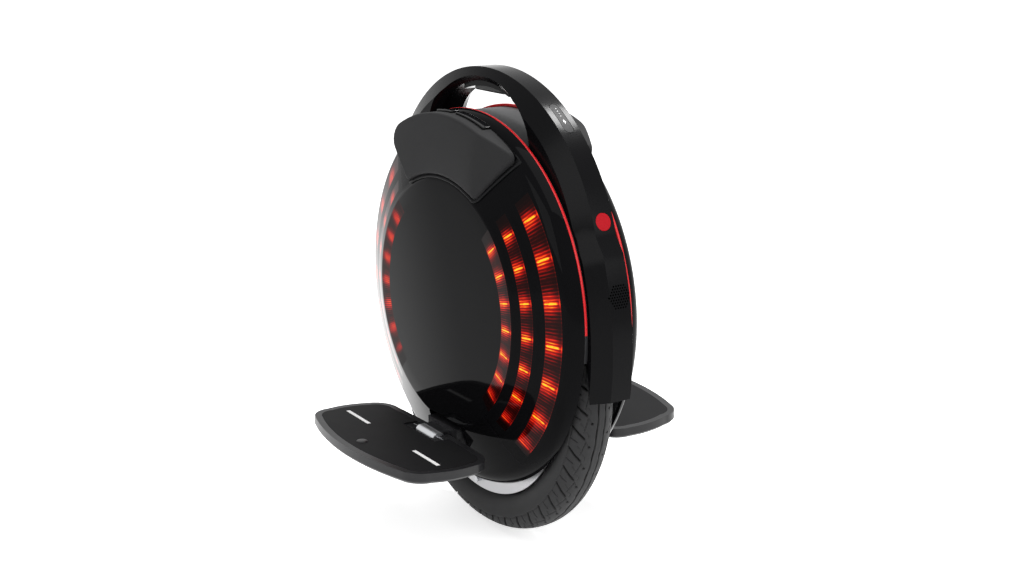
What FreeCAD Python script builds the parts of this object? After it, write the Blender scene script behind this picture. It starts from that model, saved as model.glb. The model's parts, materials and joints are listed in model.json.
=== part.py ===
"""Electric unicycle with a hub motor, folding pedals and a carry handle, as a parametric document.

Millimetres. The origin is on the ground under the axle, +Z is up and Y runs along the axle. +X is the
rear, with the tail lamp, so forward is -X and the left side is -Y.
"""
import FreeCAD, Part
import Sketcher
import math
import os
import re

DRIVING_SIZES = {
    # Wheel
    "tyre_radius": 200.0,
    "tyre_half_width": 26.3,
    "tyre_crown": 22.0,
    "tyre_tread_wall": 8.0,
    "tyre_side_wall": 5.0,
    "tyre_bead_gap": 0.2,
    "tyre_bead_rise": 1.0,
    "tyre_belly_pinch": 1.4,
    "tyre_cap_drop": 0.27,
    "tyre_cap_share": 0.68,
    "tube_wall": 1.6,
    "tube_gap": 0.6,
    "rim_drop": 43.0,
    "rim_bead_depth": 4.5,
    "rim_inset": 5.3,
    "rim_flange_wall": 3.0,
    "rim_lip_height": 17.0,
    "rim_lip_slope": 6.0,
    "hub_inset": 2.0,
    "hub_wall": 45.0,
    "cover_lip": 19.0,
    "cover_wall": 3.0,
    "cover_dish": 3.0,
    "cover_boss_wall": 6.0,
    "cover_boss_gap": 1.0,
    "cover_boss_slope": 8.0,
    "cover_screw_inset": 13.0,
    "cover_screw_radius": 4.0,
    "cover_screw_head": 2.5,
    "cover_screw_count": 8,
    "cover_screw_lift": 0.12,
    "valve_inset": 6.0,
    "valve_radius": 3.0,
    "valve_reach": 6.0,
    # Motor, axle and bearings
    "bearing_radius": 21.0,
    "bearing_width": 12.0,
    "bearing_inset": 1.0,
    "running_gap": 0.05,
    "axle_seat_radius": 12.0,
    "axle_radius": 10.0,
    "axle_end_radius": 8.0,
    "axle_collar": 1.0,
    "axle_tail": 2.8,
    "air_gap": 1.5,
    "stator_inset": 6.0,
    "tooth_height": 32.5,
    "yoke_wall": 18.0,
    "stator_spider_wall": 8.0,
    "stator_hub_wall": 8.0,
    "stator_seat_margin": 0.5,
    "tooth_count": 24,
    "tooth_width": 8.0,
    "tooth_tip": 4.0,
    "tooth_edge": 1.0,
    "tooth_slot": 4.0,
    "winding_wall": 3.0,
    "winding_gap": 0.3,
    "magnet_count": 32,
    "magnet_wall": 4.0,
    "magnet_gap": 3.0,
    "nut_flats": 24.0,
    "nut_height": 10.0,
    # Inner shell with the wheel well and the deck
    "panel_lift": 70.0,
    "deck_rise": 6.0,
    "shell_wall": 3.0,
    "well_side_gap": 3.7,
    "well_gap": 9.0,
    "well_roof_half_angle": 73.5,
    "deck_half_angle": 96.5,
    "axle_window_radius": 24.0,
    "seat_gap": 0.1,
    "cut_margin": 2.0,
    # Side panel
    "panel_lap": 3.0,
    "panel_shoulder_width": 14.0,
    "panel_shoulder_rise": 16.0,
    "panel_slope_width": 59.0,
    "panel_slope_rise": 23.3,
    "panel_round_out": 0.643,
    "panel_round_up": 0.6,
    "panel_round_across": 0.8,
    "panel_round_down": 0.6,
    "panel_wall": 3.0,
    "hinge_window_margin": 3.0,
    "hinge_window_drop": 20.0,
    "hinge_window_rise": 18.0,
    # Light bands
    "band_inner_width": 17.8,
    "band_inner_gap": 0.6,
    "band_middle_gap": 11.5,
    "band_middle_width": 13.5,
    "band_outer_width": 18.8,
    "band_outer_gap": 1.4,
    "band_half_angle": 47.0,
    "band_root": 8.0,
    "band_gap": 0.08,
    "band_end_gap": 0.1,
    "light_board_wall": 1.6,
    "light_board_margin": 2.0,
    # Red trim
    "trim_width": 3.4,
    "trim_height": 3.2,
    "trim_half_angle": 88.0,
    # Knee pad and its tray
    "tray_step": 3.5,
    "tray_wall": 1.5,
    "tray_margin": 3.5,
    "pad_step": 2.0,
    "pad_low_rise": 2.2,
    "pad_crown_rise": 1.6,
    "pad_overhang": 12.0,
    "pad_top_drop": 3.5,
    "pad_lip_step": 8.0,
    "pad_lip_drop": 0.5,
    "pad_lip_bulge": 0.6,
    "pad_low_angle": 28.6,
    "pad_top_angle": 33.2,
    "pad_corner_radius": 7.0,
    "pad_front_corner_radius": 18.0,
    "pad_taper_from": 64.5,
    "pad_taper_to": 107.0,
    "pad_taper_drop": 19.5,
    "pad_edge_radius": 3.5,
    "pad_stock": 40.0,
    "pad_stock_angle": 8.0,
    "pad_rim_band": 1.0,
    # Arch with the handle
    "arch_rise": 4.6,
    "arch_lift": 42.3,
    "arch_face_half_width": 12.4,
    "arch_half_width": 24.0,
    "arch_bevel": 20.5,
    "arch_root": 45.0,
    "facet_angle": 73.15,
    "spine_swell": 102.3,
    "spine_arc_back": 80.8,
    "spine_arc_drop": 60.8,
    "spine_top_angle": 19.76,
    "spine_bottom_angle": -7.7,
    "spine_flank_bottom_angle": -9.4,
    "spine_depth": 56.0,
    "handle_foot_x": 94.0,
    "handle_foot_drop": 22.0,
    "handle_side_x": 84.5,
    "handle_side_drop": 3.5,
    "handle_shoulder_x": 65.0,
    "handle_shoulder_rise": 13.0,
    "handle_top_rise": 32.0,
    "handle_sink": 30.0,
    "handle_chamfer": 6.5,
    "handle_chamfer_rise": 15.0,
    "handle_chamfer_depth": 10.0,
    "grip_half_width": 11.0,
    "grip_half_length": 44.0,
    "grip_drop": 6.0,
    "grip_end_rise": 19.0,
    # Lift switch
    "switch_half_length": 27.0,
    "switch_half_width": 8.0,
    "switch_low_rise": 19.5,
    "switch_height": 9.0,
    "switch_travel": 2.5,
    "switch_gap": 0.3,
    # Power button and charge cover: two pills on the arch
    "pill_angle": 36.2,
    "pill_half_length": 21.0,
    "pill_half_width": 5.5,
    "pill_height": 2.6,
    "pill_travel": 1.0,
    "pill_gap": 0.3,
    "charge_bore_radius": 4.2,
    "charge_socket_radius": 5.0,
    "charge_socket_depth": 13.0,
    # Lamps
    "lamp_angle": 69.1,
    "tail_lamp_radius": 9.25,
    "head_lamp_radius": 11.0,
    "lamp_depth": 6.0,
    # Speaker
    "speaker_rise": 4.7,
    "speaker_radius": 14.0,
    "speaker_depth": 9.0,
    "speaker_wall": 3.5,
    "grille_pitch": 3.1,
    "grille_hole_radius": 0.95,
    "grille_rings": 4,
    "grille_reach": 14.0,
    # Pedal hangers and hinges
    "hanger_depth": 14.0,
    "hanger_boss_radius": 26.0,
    "hanger_half_width": 31.0,
    "hanger_foot_drop": 15.0,
    "hanger_foot_rise": 11.0,
    "hanger_foot_setback": 17.0,
    "hinge_clearance": 18.7,
    "hinge_drop": 80.0,
    "lug_half_width": 18.7,
    "lug_radius": 7.5,
    "hinge_pin_radius": 4.0,
    "hinge_pin_half_length": 33.0,
    "hinge_side_gap": 0.5,
    "hanger_bolt_x": 20.0,
    "hanger_bolt_drop": 50.0,
    "hanger_bolt_radius": 3.0,
    "hanger_bolt_head_radius": 5.0,
    "hanger_bolt_head": 5.0,
    # Pedals, measured outwards from the hinge
    "pedal_tilt": 3.5,
    "pedal_top": 5.3,
    "pedal_thickness": 12.0,
    "pedal_bevel": 3.0,
    "pedal_half_length": 121.5,
    "pedal_side_reach": 42.0,
    "pedal_heel_x": 90.0,
    "pedal_heel_reach": 9.5,
    "pedal_inner_reach": 12.5,
    "pedal_outer_reach": 108.0,
    "pedal_toe_x": 97.0,
    "pedal_toe_reach": 92.5,
    "pedal_waist_x": 118.0,
    "pedal_waist_in": 15.0,
    "pedal_waist_out": 66.0,
    "pedal_corner_in": 111.0,
    "pedal_corner_in_reach": 1.0,
    "pedal_corner_out": 112.5,
    "pedal_corner_out_reach": 82.0,
    "pedal_bend_share": 0.7,
    "pedal_end_share": 0.28,
    "lug_notch_reach": 10.5,
    "mat_border": 8.0,
    "mat_wall": 1.5,
    "mat_gap": 0.25,
    "mat_notch_margin": 1.5,
    "mat_notch_reach": 14.0,
    "stripe_reach": 49.0,
    "stripe_from": 50.0,
    "stripe_to": 101.0,
    "stripe_width": 4.6,
    "stripe_wall": 0.6,
    # Batteries and electronics
    "battery_gap": 1.8,
    "battery_lift": 9.0,
    "battery_height": 160.0,
    "battery_depth": 22.0,
    "battery_corner": 9.0,
    "sink_half_length": 40.0,
    "sink_half_width": 25.0,
    "sink_height": 10.0,
    "sink_fin_count": 6,
    "sink_fin_width": 3.0,
    "sink_fin_height": 6.0,
    "board_half_length": 48.0,
    "board_wall": 1.6,
    "board_part_height": 14.0,
    "board_part_radius": 8.0,
}

# Sizes that follow from others, so that a change carries through
FOLLOWING_SIZES = {
    "tyre_shoulder_radius": "tyre_radius - tyre_crown",
    "rim_flange_radius": "tyre_radius - rim_drop",
    "rim_seat_radius": "rim_flange_radius - rim_bead_depth",
    "rim_half_width": "tyre_half_width - rim_inset",
    "hub_half_width": "rim_half_width - hub_inset",
    "hub_bore_radius": "rim_flange_radius - hub_wall",
    "cover_radius": "rim_flange_radius - cover_lip",
    "cover_boss_depth": "well_half_width - cover_boss_gap",
    "cover_screw_circle": "cover_radius - cover_screw_inset",
    "valve_circle": "rim_seat_radius - valve_inset",
    "stator_radius": "hub_bore_radius - magnet_wall - air_gap",
    "stator_half_width": "hub_half_width - stator_inset",
    "stator_yoke_radius": "stator_radius - tooth_height",
    "stator_bore_radius": "stator_yoke_radius - yoke_wall",
    "magnet_width": "2 * pi * hub_bore_radius / magnet_count - magnet_gap",
    "axle_shoulder": "well_half_width + axle_collar",
    "axle_half_length": "well_half_width + shell_wall + 2 * seat_gap + hanger_depth + nut_height + axle_tail",
    "well_half_width": "tyre_half_width + well_side_gap",
    "well_radius": "tyre_radius + well_gap",
    "panel_centre_z": "tyre_radius + panel_lift",
    "deck_radius": "tyre_radius + deck_rise",
    "deck_top_z": "panel_centre_z + deck_radius",
    "panel_radius": "deck_radius + panel_lap",
    "panel_edge_depth": "well_half_width",
    "panel_shoulder_radius": "panel_radius - panel_shoulder_width",
    "panel_shoulder_depth": "panel_edge_depth + panel_shoulder_rise",
    "panel_crease_radius": "panel_shoulder_radius - panel_slope_width",
    "panel_face_depth": "panel_shoulder_depth + panel_slope_rise",
    "panel_round_radius": "panel_shoulder_radius + panel_shoulder_width * panel_round_out",
    "panel_round_depth": "panel_edge_depth + panel_shoulder_rise * panel_round_up",
    "hinge_window_half_width": "hanger_half_width + hinge_window_margin",
    "hinge_window_low": "hinge_z - hinge_window_drop",
    "hinge_window_high": "hinge_z + hinge_window_rise",
    "band_inner_to": "panel_crease_radius - band_inner_gap",
    "band_inner_from": "band_inner_to - band_inner_width",
    "band_middle_from": "panel_crease_radius + band_middle_gap",
    "band_middle_to": "band_middle_from + band_middle_width",
    "band_outer_to": "panel_shoulder_radius - band_outer_gap",
    "band_outer_from": "band_outer_to - band_outer_width",
    "band_back_depth": "panel_shoulder_depth - band_root",
    "tray_low_radius": "panel_crease_radius + tray_step",
    "pad_low_radius": "tray_low_radius + pad_step",
    "pad_low_depth": "panel_face_depth + pad_low_rise",
    "pad_top_radius": "panel_shoulder_radius + pad_overhang",
    "pad_top_depth": "pad_low_depth - pad_top_drop",
    "pad_crown_radius": "(pad_low_radius + pad_top_radius) / 2",
    "pad_crown_depth": "(pad_low_depth + pad_top_depth) / 2 + pad_crown_rise",
    "pad_lip_radius": "panel_shoulder_radius + pad_lip_step",
    "pad_lip_depth": "panel_shoulder_depth - pad_lip_drop",
    "arch_radius": "deck_radius + arch_rise",
    "arch_centre_z": "panel_centre_z + arch_lift",
    "spine_arc_radius": "arch_radius + spine_swell",
    "spine_arc_x": "-spine_arc_back",
    "spine_arc_z": "arch_centre_z - spine_arc_drop",
    "spine_root_x": "deck_radius - spine_depth",
    "handle_foot_z": "deck_top_z - handle_foot_drop",
    "handle_side_z": "deck_top_z - handle_side_drop",
    "handle_shoulder_z": "deck_top_z + handle_shoulder_rise",
    "handle_top_z": "deck_top_z + handle_top_rise",
    "grip_end_z": "deck_top_z + grip_end_rise",
    "switch_low_z": "deck_top_z + switch_low_rise",
    "speaker_z": "arch_centre_z + speaker_rise",
    "hinge_z": "tyre_radius - hinge_drop",
    "hinge_reach": "panel_face_depth + hinge_clearance",
    "hanger_foot_low_z": "hinge_z - hanger_foot_drop",
    "hanger_foot_high_z": "hinge_z + hanger_foot_rise",
    "hanger_foot_reach": "hinge_reach - hanger_foot_setback",
    "hanger_bolt_z": "tyre_radius - hanger_bolt_drop",
    "battery_half_width": "(band_inner_from - light_board_margin) * cos(band_half_angle) - battery_gap",
    "battery_low_z": "tyre_radius + hanger_boss_radius + battery_lift",
    "battery_high_z": "battery_low_z + battery_height",
}

doc = FreeCAD.newDocument("electric_unicycle")
sheet = doc.addObject("Spreadsheet::Sheet", "dim")
for row, (alias, number) in enumerate(DRIVING_SIZES.items(), 1):
    sheet.set(f"A{row}", alias)
    sheet.set(f"B{row}", str(number))
    sheet.setAlias(f"B{row}", alias)
doc.recompute()

SIDES = {"left": 180.0, "right": 0.0}
STRIPED_MATS = ("left",)
SUBPARTS = []


# Sheet rules and sketches


def rule(text):
    """Write a rule's size names as references to the sheet, and following sizes as their own rules."""
    def reference(word):
        name = word[0]
        if name in FOLLOWING_SIZES:
            return f"({rule(FOLLOWING_SIZES[name])})"
        return f"dim.{name}" if name in DRIVING_SIZES else name

    return re.sub(r"[a-z_]+", reference, str(text))


def worth(text):
    """Return the number that a rule gives now."""
    return float(sheet.evalExpression(rule(text)))


def bind(thing, name, text):
    """Tie one property of an object to a rule of the sheet."""
    thing.setExpression(name, rule(text))


def keep(thing, label):
    """Count an object as a sub-part under its label."""
    thing.Label = label
    SUBPARTS.append(thing)
    return thing


def new_body(label, turn=0.0, height="0", tilt=0.0, reach="0"):
    """Start a sub-part, its frame lifted, moved out sideways, turned about Z and tilted about its own X."""
    body = doc.addObject("PartDesign::Body", label)
    body.AllowCompound = True
    side = -1.0 if turn else 1.0
    body.Placement = FreeCAD.Placement(FreeCAD.Vector(), FreeCAD.Rotation(turn, 0.0, tilt))
    bind(body, "Placement.Base.y", f"{side} * ({reach})")
    bind(body, "Placement.Base.z", height)
    return keep(body, label)


def new_sketch(body, plane, shift="0"):
    """Put a sketch on one of the body's own planes, shifted along that plane's normal."""
    sketch = body.newObject("Sketcher::SketchObject", f"{body.Label}_sketch")
    support = [item for item in body.Origin.OriginFeatures if item.Role == f"{plane}_Plane"]
    sketch.AttachmentSupport = [(support[0], "")]
    sketch.MapMode = "FlatFace"
    bind(sketch, "AttachmentOffset.Base.z", shift)
    return sketch


def arch_sketch(body, angle, radius):
    """Put a sketch square to a radius of the arch, at an angle from its top towards the rear."""
    sketch = new_sketch(body, "XY")
    sketch.AttachmentOffset = FreeCAD.Placement(
        FreeCAD.Vector(), FreeCAD.Rotation(FreeCAD.Vector(0, 1, 0), worth(angle)))
    bind(sketch, "AttachmentOffset.Base.x", f"({radius}) * sin({angle})")
    bind(sketch, "AttachmentOffset.Base.z", f"({radius}) * cos({angle})")
    return sketch


def pin_point(sketch, ties, geometry, position, corner):
    """Hold a point of the sketch at the place that two rules give."""
    for kind, text in zip(("DistanceX", "DistanceY"), corner):
        ties.append((Sketcher.Constraint(kind, -1, 1, geometry, position, worth(text)), text))


def tie(sketch, ties):
    """Add constraints, each bound to its rule where it has one."""
    for constraint, text in ties:
        number = sketch.addConstraint(constraint)
        if text is not None:
            bind(sketch, f"Constraints[{number}]", text)


def place(corner):
    """Return the sketch point that two rules give."""
    return FreeCAD.Vector(worth(corner[0]), worth(corner[1]), 0)


def draw(sketch, start, *runs):
    """Draw a closed outline of straight runs (u, v) and arcs (u_mid, v_mid, u, v)."""
    runs = list(runs)
    if tuple(runs[-1][-2:]) != tuple(start):
        runs.append(start)
    ties, ends = [], []
    here = start
    for run in runs:
        first, last = place(here), place(run[-2:])
        if len(run) == 2:
            number = sketch.addGeometry(Part.LineSegment(first, last))
            ends.append((number, 1, 2))
        else:
            middle = place(run[:2])
            clockwise = (middle - first).cross(last - middle).z < 0
            arc = Part.Arc(last, middle, first) if clockwise else Part.Arc(first, middle, last)
            number = sketch.addGeometry(arc)
            ends.append((number, 2, 1) if clockwise else (number, 1, 2))
            on_arc = sketch.addGeometry(Part.Point(middle), True)
            pin_point(sketch, ties, on_arc, 1, run[:2])
            ties.append((Sketcher.Constraint("PointOnObject", on_arc, 1, number), None))
        pin_point(sketch, ties, number, ends[-1][1], here)
        here = run[-2:]
    for (number, _, tail), (follower, head, _) in zip(ends, ends[1:] + ends[:1]):
        ties.append((Sketcher.Constraint("Coincident", number, tail, follower, head), None))
    tie(sketch, ties)
    return sketch


def draw_box(sketch, low, high):
    """Draw an upright rectangle between two corners."""
    return draw(sketch, low, (high[0], low[1]), high, (low[0], high[1]))


def draw_circle(sketch, centre, radius):
    """Draw a circle about a point."""
    number = sketch.addGeometry(Part.Circle(place(centre), FreeCAD.Vector(0, 0, 1), worth(radius)))
    ties = [(Sketcher.Constraint("Radius", number, worth(radius)), radius)]
    pin_point(sketch, ties, number, 3, centre)
    tie(sketch, ties)
    return sketch


def draw_pill(sketch, half_length, half_width):
    """Draw a bar with round ends about the sketch's origin."""
    bend = f"{half_length} - {half_width}"
    return draw(sketch, (f"-({bend})", f"-({half_width})"), (bend, f"-({half_width})"),
                (half_length, "0", bend, half_width), (f"-({bend})", half_width),
                (f"-({half_length})", "0", f"-({bend})", f"-({half_width})"))


# Features


def extrude(body, kind, sketch, length, both=False, reverse=False):
    """Pad or pocket a sketch."""
    feature = body.newObject(f"PartDesign::{kind}", f"{body.Label}_{kind.lower()}")
    feature.Profile = sketch
    bind(feature, "Length", length)
    feature.SideType = "Symmetric" if both else "One side"
    feature.Reversed = reverse
    doc.recompute()
    return feature


def spin(body, kind, sketch, axis="V_Axis", angle="360"):
    """Revolve or groove a sketch about one of its own axes, evenly to both sides."""
    feature = body.newObject(f"PartDesign::{kind}", f"{body.Label}_{kind.lower()}")
    feature.Profile = sketch
    feature.ReferenceAxis = (sketch, [axis])
    bind(feature, "Angle", angle)
    feature.Midplane = True
    doc.recompute()
    return feature


def loft(body, sketches, kind="AdditiveLoft"):
    """Join like outlines with straight-ruled faces, as a solid or as a cut."""
    feature = body.newObject(f"PartDesign::{kind}", f"{body.Label}_loft")
    feature.Profile = sketches[0]
    feature.Sections = sketches[1:]
    feature.Ruled = True
    doc.recompute()
    return feature


def ring_of(body, feature, axis, count):
    """Repeat a feature round one of the body's axes."""
    pattern = body.newObject("PartDesign::PolarPattern", f"{body.Label}_ring")
    pattern.Originals = [feature]
    support = [item for item in body.Origin.OriginFeatures if item.Role == f"{axis}_Axis"]
    pattern.Axis = (support[0], [""])
    pattern.Angle = 360.0
    bind(pattern, "Occurrences", count)
    body.Tip = pattern
    doc.recompute()
    return pattern


def mirror_of(body, features, plane):
    """Repeat features on the other side of one of the body's planes."""
    mirror = body.newObject("PartDesign::Mirrored", f"{body.Label}_mirror")
    mirror.Originals = features
    support = [item for item in body.Origin.OriginFeatures if item.Role == f"{plane}_Plane"]
    mirror.MirrorPlane = (support[0], [""])
    body.Tip = mirror
    doc.recompute()
    return mirror


def round_edges(body, feature, kind, size_name, size, chosen):
    """Fillet or chamfer the edges that a test picks."""
    names = [f"Edge{number}" for number, edge in enumerate(feature.Shape.Edges, 1) if chosen(edge)]
    dressing = body.newObject(f"PartDesign::{kind}", f"{body.Label}_{kind.lower()}")
    dressing.Base = (feature, names)
    bind(dressing, size_name, size)
    doc.recompute()
    return dressing


# Wheel


def build_tyre():
    """The tyre, hollow, with beads inside the rim's flanges."""
    body = new_body("tyre", height="tyre_radius")
    sketch = new_sketch(body, "XY")
    bead = "rim_half_width - rim_flange_wall - tyre_bead_gap"
    inner = f"{bead} - tyre_side_wall"
    foot = "rim_seat_radius + tyre_bead_gap"
    flange = "rim_flange_radius + tyre_bead_rise"
    belly = "(rim_flange_radius + tyre_shoulder_radius) / 2"
    cap = "tyre_radius - (tyre_radius - tyre_shoulder_radius) * tyre_cap_drop"
    draw(sketch, (foot, f"-({bead})"), (flange, f"-({bead})"),
         (belly, "-(tyre_half_width - tyre_belly_pinch)", "tyre_shoulder_radius", "-tyre_half_width"),
         (cap, "-tyre_half_width * tyre_cap_share", "tyre_radius", "0"),
         (cap, "tyre_half_width * tyre_cap_share", "tyre_shoulder_radius", "tyre_half_width"),
         (belly, "tyre_half_width - tyre_belly_pinch", flange, bead),
         (foot, bead), (foot, inner), (flange, inner),
         (belly, "tyre_half_width - tyre_belly_pinch - tyre_side_wall",
          "tyre_shoulder_radius", "tyre_half_width - tyre_side_wall"),
         (f"{cap} - tyre_tread_wall", "(tyre_half_width - tyre_side_wall) * tyre_cap_share",
          "tyre_radius - tyre_tread_wall", "0"),
         (f"{cap} - tyre_tread_wall", "-(tyre_half_width - tyre_side_wall) * tyre_cap_share",
          "tyre_shoulder_radius", "-(tyre_half_width - tyre_side_wall)"),
         (belly, "-(tyre_half_width - tyre_belly_pinch - tyre_side_wall)", flange, f"-({inner})"),
         (foot, f"-({inner})"))
    spin(body, "Revolution", sketch)


def build_inner_tube():
    """The air tube, resting on the rim's seat inside the tyre."""
    low = "rim_seat_radius + tube_gap"
    high = "tyre_radius - tyre_tread_wall - tube_gap"
    tori = []
    for name, cut in (("tube_outside", "0"), ("tube_inside", "tube_wall")):
        torus = doc.addObject("Part::Torus", name)
        bind(torus, "Radius1", f"({low} + {high}) / 2")
        bind(torus, "Radius2", f"({high} - ({low})) / 2 - {cut}")
        torus.Placement = FreeCAD.Placement(FreeCAD.Vector(), FreeCAD.Rotation(FreeCAD.Vector(1, 0, 0), 90))
        bind(torus, "Placement.Base.z", "tyre_radius")
        tori.append(torus)
    tube = doc.addObject("Part::Cut", "inner_tube")
    tube.Base, tube.Tool = tori
    keep(tube, "inner_tube")


def build_rim():
    """The rim and the motor's outer ring, cast in one piece."""
    body = new_body("rim", height="tyre_radius")
    sketch = new_sketch(body, "XY")
    lip = "rim_flange_radius - rim_lip_height"
    draw(sketch, ("hub_bore_radius", "-hub_half_width"), (lip, "-hub_half_width"),
         (f"{lip} + rim_lip_slope", "-rim_half_width"), ("rim_flange_radius", "-rim_half_width"),
         ("rim_flange_radius", "-(rim_half_width - rim_flange_wall)"),
         ("rim_seat_radius", "-(rim_half_width - rim_flange_wall)"),
         ("rim_seat_radius", "rim_half_width - rim_flange_wall"),
         ("rim_flange_radius", "rim_half_width - rim_flange_wall"),
         ("rim_flange_radius", "rim_half_width"), (f"{lip} + rim_lip_slope", "rim_half_width"),
         (lip, "hub_half_width"), ("hub_bore_radius", "hub_half_width"))
    spin(body, "Revolution", sketch)


def build_motor_covers():
    """The two dished covers that close the motor and hold the bearings."""
    for side, turn in SIDES.items():
        body = new_body(f"motor_cover_{side}", turn, "tyre_radius")
        sketch = new_sketch(body, "XY")
        boss = "bearing_radius + cover_boss_wall"
        low = "cover_boss_depth - bearing_width - 2 * bearing_inset"
        draw(sketch, ("bearing_radius", low), (boss, low), (boss, "hub_half_width"),
             ("cover_radius", "hub_half_width"), ("cover_radius", "hub_half_width + cover_wall"),
             (f"{boss} + cover_boss_slope", "hub_half_width + cover_wall + cover_dish"),
             (boss, "cover_boss_depth"), ("bearing_radius", "cover_boss_depth"))
        spin(body, "Revolution", sketch)


def build_cover_screws():
    """The screws round both motor covers, one group."""
    body = new_body("cover_screws", height="tyre_radius")
    for shift in ("hub_half_width + cover_wall", "-(hub_half_width + cover_wall)"):
        run = "cover_radius - bearing_radius - cover_boss_wall - cover_boss_slope"
        rise = f"cover_dish * (cover_radius - cover_screw_circle) / ({run}) + cover_screw_lift"
        start = f"{shift} + {rise}" if not shift.startswith("-") else f"{shift} - ({rise})"
        sketch = new_sketch(body, "XZ", f"-({start})")
        draw_circle(sketch, ("cover_screw_circle", "0"), "cover_screw_radius")
        feature = extrude(body, "Pad", sketch, "cover_screw_head", reverse=not shift.startswith("-"))
        ring_of(body, feature, "Y", "cover_screw_count")


def build_bearings():
    """The two ball bearings between axle and covers."""
    for side, turn in SIDES.items():
        body = new_body(f"bearing_{side}", turn, "tyre_radius")
        sketch = new_sketch(body, "XY")
        top = "cover_boss_depth - bearing_inset"
        draw_box(sketch, ("axle_radius + running_gap", f"{top} - bearing_width"), ("bearing_radius", top))
        spin(body, "Revolution", sketch)


def build_magnets():
    """The ring of magnets inside the motor's outer ring."""
    body = new_body("rotor_magnets", height="tyre_radius")
    sketch = new_sketch(body, "XY")
    draw_box(sketch, ("hub_bore_radius - magnet_wall", "-stator_half_width"),
             ("hub_bore_radius", "stator_half_width"))
    share = "magnet_width / (hub_bore_radius * pi) * 180"
    feature = spin(body, "Revolution", sketch, angle=share)
    ring_of(body, feature, "Y", "magnet_count")


def build_valve():
    """The tyre valve, which leaves the rim sideways."""
    body = new_body("valve_stem", height="tyre_radius")
    sketch = new_sketch(body, "XZ", "rim_half_width")
    draw_circle(sketch, ("0", "-valve_circle"), "valve_radius")
    extrude(body, "Pad", sketch, "valve_reach")


# Motor core and axle


def build_axle():
    """The fixed axle with its stator seat, bearing seats and threaded ends."""
    body = new_body("axle", height="tyre_radius")
    sketch = new_sketch(body, "XY")
    seat = "stator_half_width + stator_seat_margin"
    draw(sketch, ("0", "-axle_half_length"), ("axle_end_radius", "-axle_half_length"),
         ("axle_end_radius", "-axle_shoulder"), ("axle_radius", "-axle_shoulder"),
         ("axle_radius", f"-({seat})"), ("axle_seat_radius", f"-({seat})"),
         ("axle_seat_radius", seat), ("axle_radius", seat), ("axle_radius", "axle_shoulder"),
         ("axle_end_radius", "axle_shoulder"), ("axle_end_radius", "axle_half_length"),
         ("0", "axle_half_length"))
    spin(body, "Revolution", sketch)


def build_stator():
    """The laminated core with its teeth, and the coil on each tooth."""
    core = new_body("stator_core", height="tyre_radius")
    sketch = new_sketch(core, "XY")
    draw(sketch, ("axle_seat_radius", "-stator_half_width"),
         ("axle_seat_radius + stator_hub_wall", "-stator_half_width"),
         ("axle_seat_radius + stator_hub_wall", "-stator_spider_wall / 2"),
         ("stator_bore_radius", "-stator_spider_wall / 2"),
         ("stator_bore_radius", "-stator_half_width"), ("stator_yoke_radius", "-stator_half_width"),
         ("stator_yoke_radius", "stator_half_width"), ("stator_bore_radius", "stator_half_width"),
         ("stator_bore_radius", "stator_spider_wall / 2"),
         ("axle_seat_radius + stator_hub_wall", "stator_spider_wall / 2"),
         ("axle_seat_radius + stator_hub_wall", "stator_half_width"),
         ("axle_seat_radius", "stator_half_width"))
    spin(core, "Revolution", sketch)
    tip = "stator_radius - tooth_tip"
    tip_half = "stator_radius * pi / tooth_count - tooth_slot / 2"
    neck = new_sketch(core, "XZ")
    draw(neck, ("stator_yoke_radius - tooth_edge", "-tooth_width / 2"), (tip, "-tooth_width / 2"),
         (tip, f"-({tip_half})"), ("stator_radius - tooth_edge", f"-({tip_half})"),
         ("stator_radius", "0", "stator_radius - tooth_edge", tip_half), (tip, tip_half),
         (tip, "tooth_width / 2"), ("stator_yoke_radius - tooth_edge", "tooth_width / 2"))
    tooth = extrude(core, "Pad", neck, "2 * stator_half_width", both=True)
    ring_of(core, tooth, "Y", "tooth_count")

    coils = new_body("stator_windings", height="tyre_radius")
    low = "stator_yoke_radius + winding_gap"
    high = f"{tip} - winding_gap"
    inner_half = "tooth_width / 2 + winding_gap"
    coil = new_sketch(coils, "YZ", low)
    half = "stator_half_width + winding_gap"
    draw_box(coil, (f"-({half} + winding_wall)", f"-({inner_half} + winding_wall)"),
             (f"{half} + winding_wall", f"{inner_half} + winding_wall"))
    draw_box(coil, (f"-({half})", f"-({inner_half})"), (half, inner_half))
    turn = extrude(coils, "Pad", coil, f"{high} - ({low})")
    ring_of(coils, turn, "Y", "tooth_count")


def build_axle_nuts():
    """The nuts that clamp the hangers on the axle's ends."""
    body = new_body("axle_nuts", height="tyre_radius")
    start = "well_half_width + shell_wall + seat_gap + hanger_depth + seat_gap"
    tip = "nut_flats / sqrt(3)"
    for shift, reverse in ((start, False), (f"-({start})", True)):
        sketch = new_sketch(body, "XZ", shift)
        draw(sketch, (tip, "0"), (f"{tip} / 2", "nut_flats / 2"), (f"-({tip}) / 2", "nut_flats / 2"),
             (f"-({tip})", "0"), (f"-({tip}) / 2", "-nut_flats / 2"), (f"{tip} / 2", "-nut_flats / 2"))
        draw_circle(sketch, ("0", "0"), "axle_end_radius")
        extrude(body, "Pad", sketch, "nut_height", reverse=reverse)


# Inner shell


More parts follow.
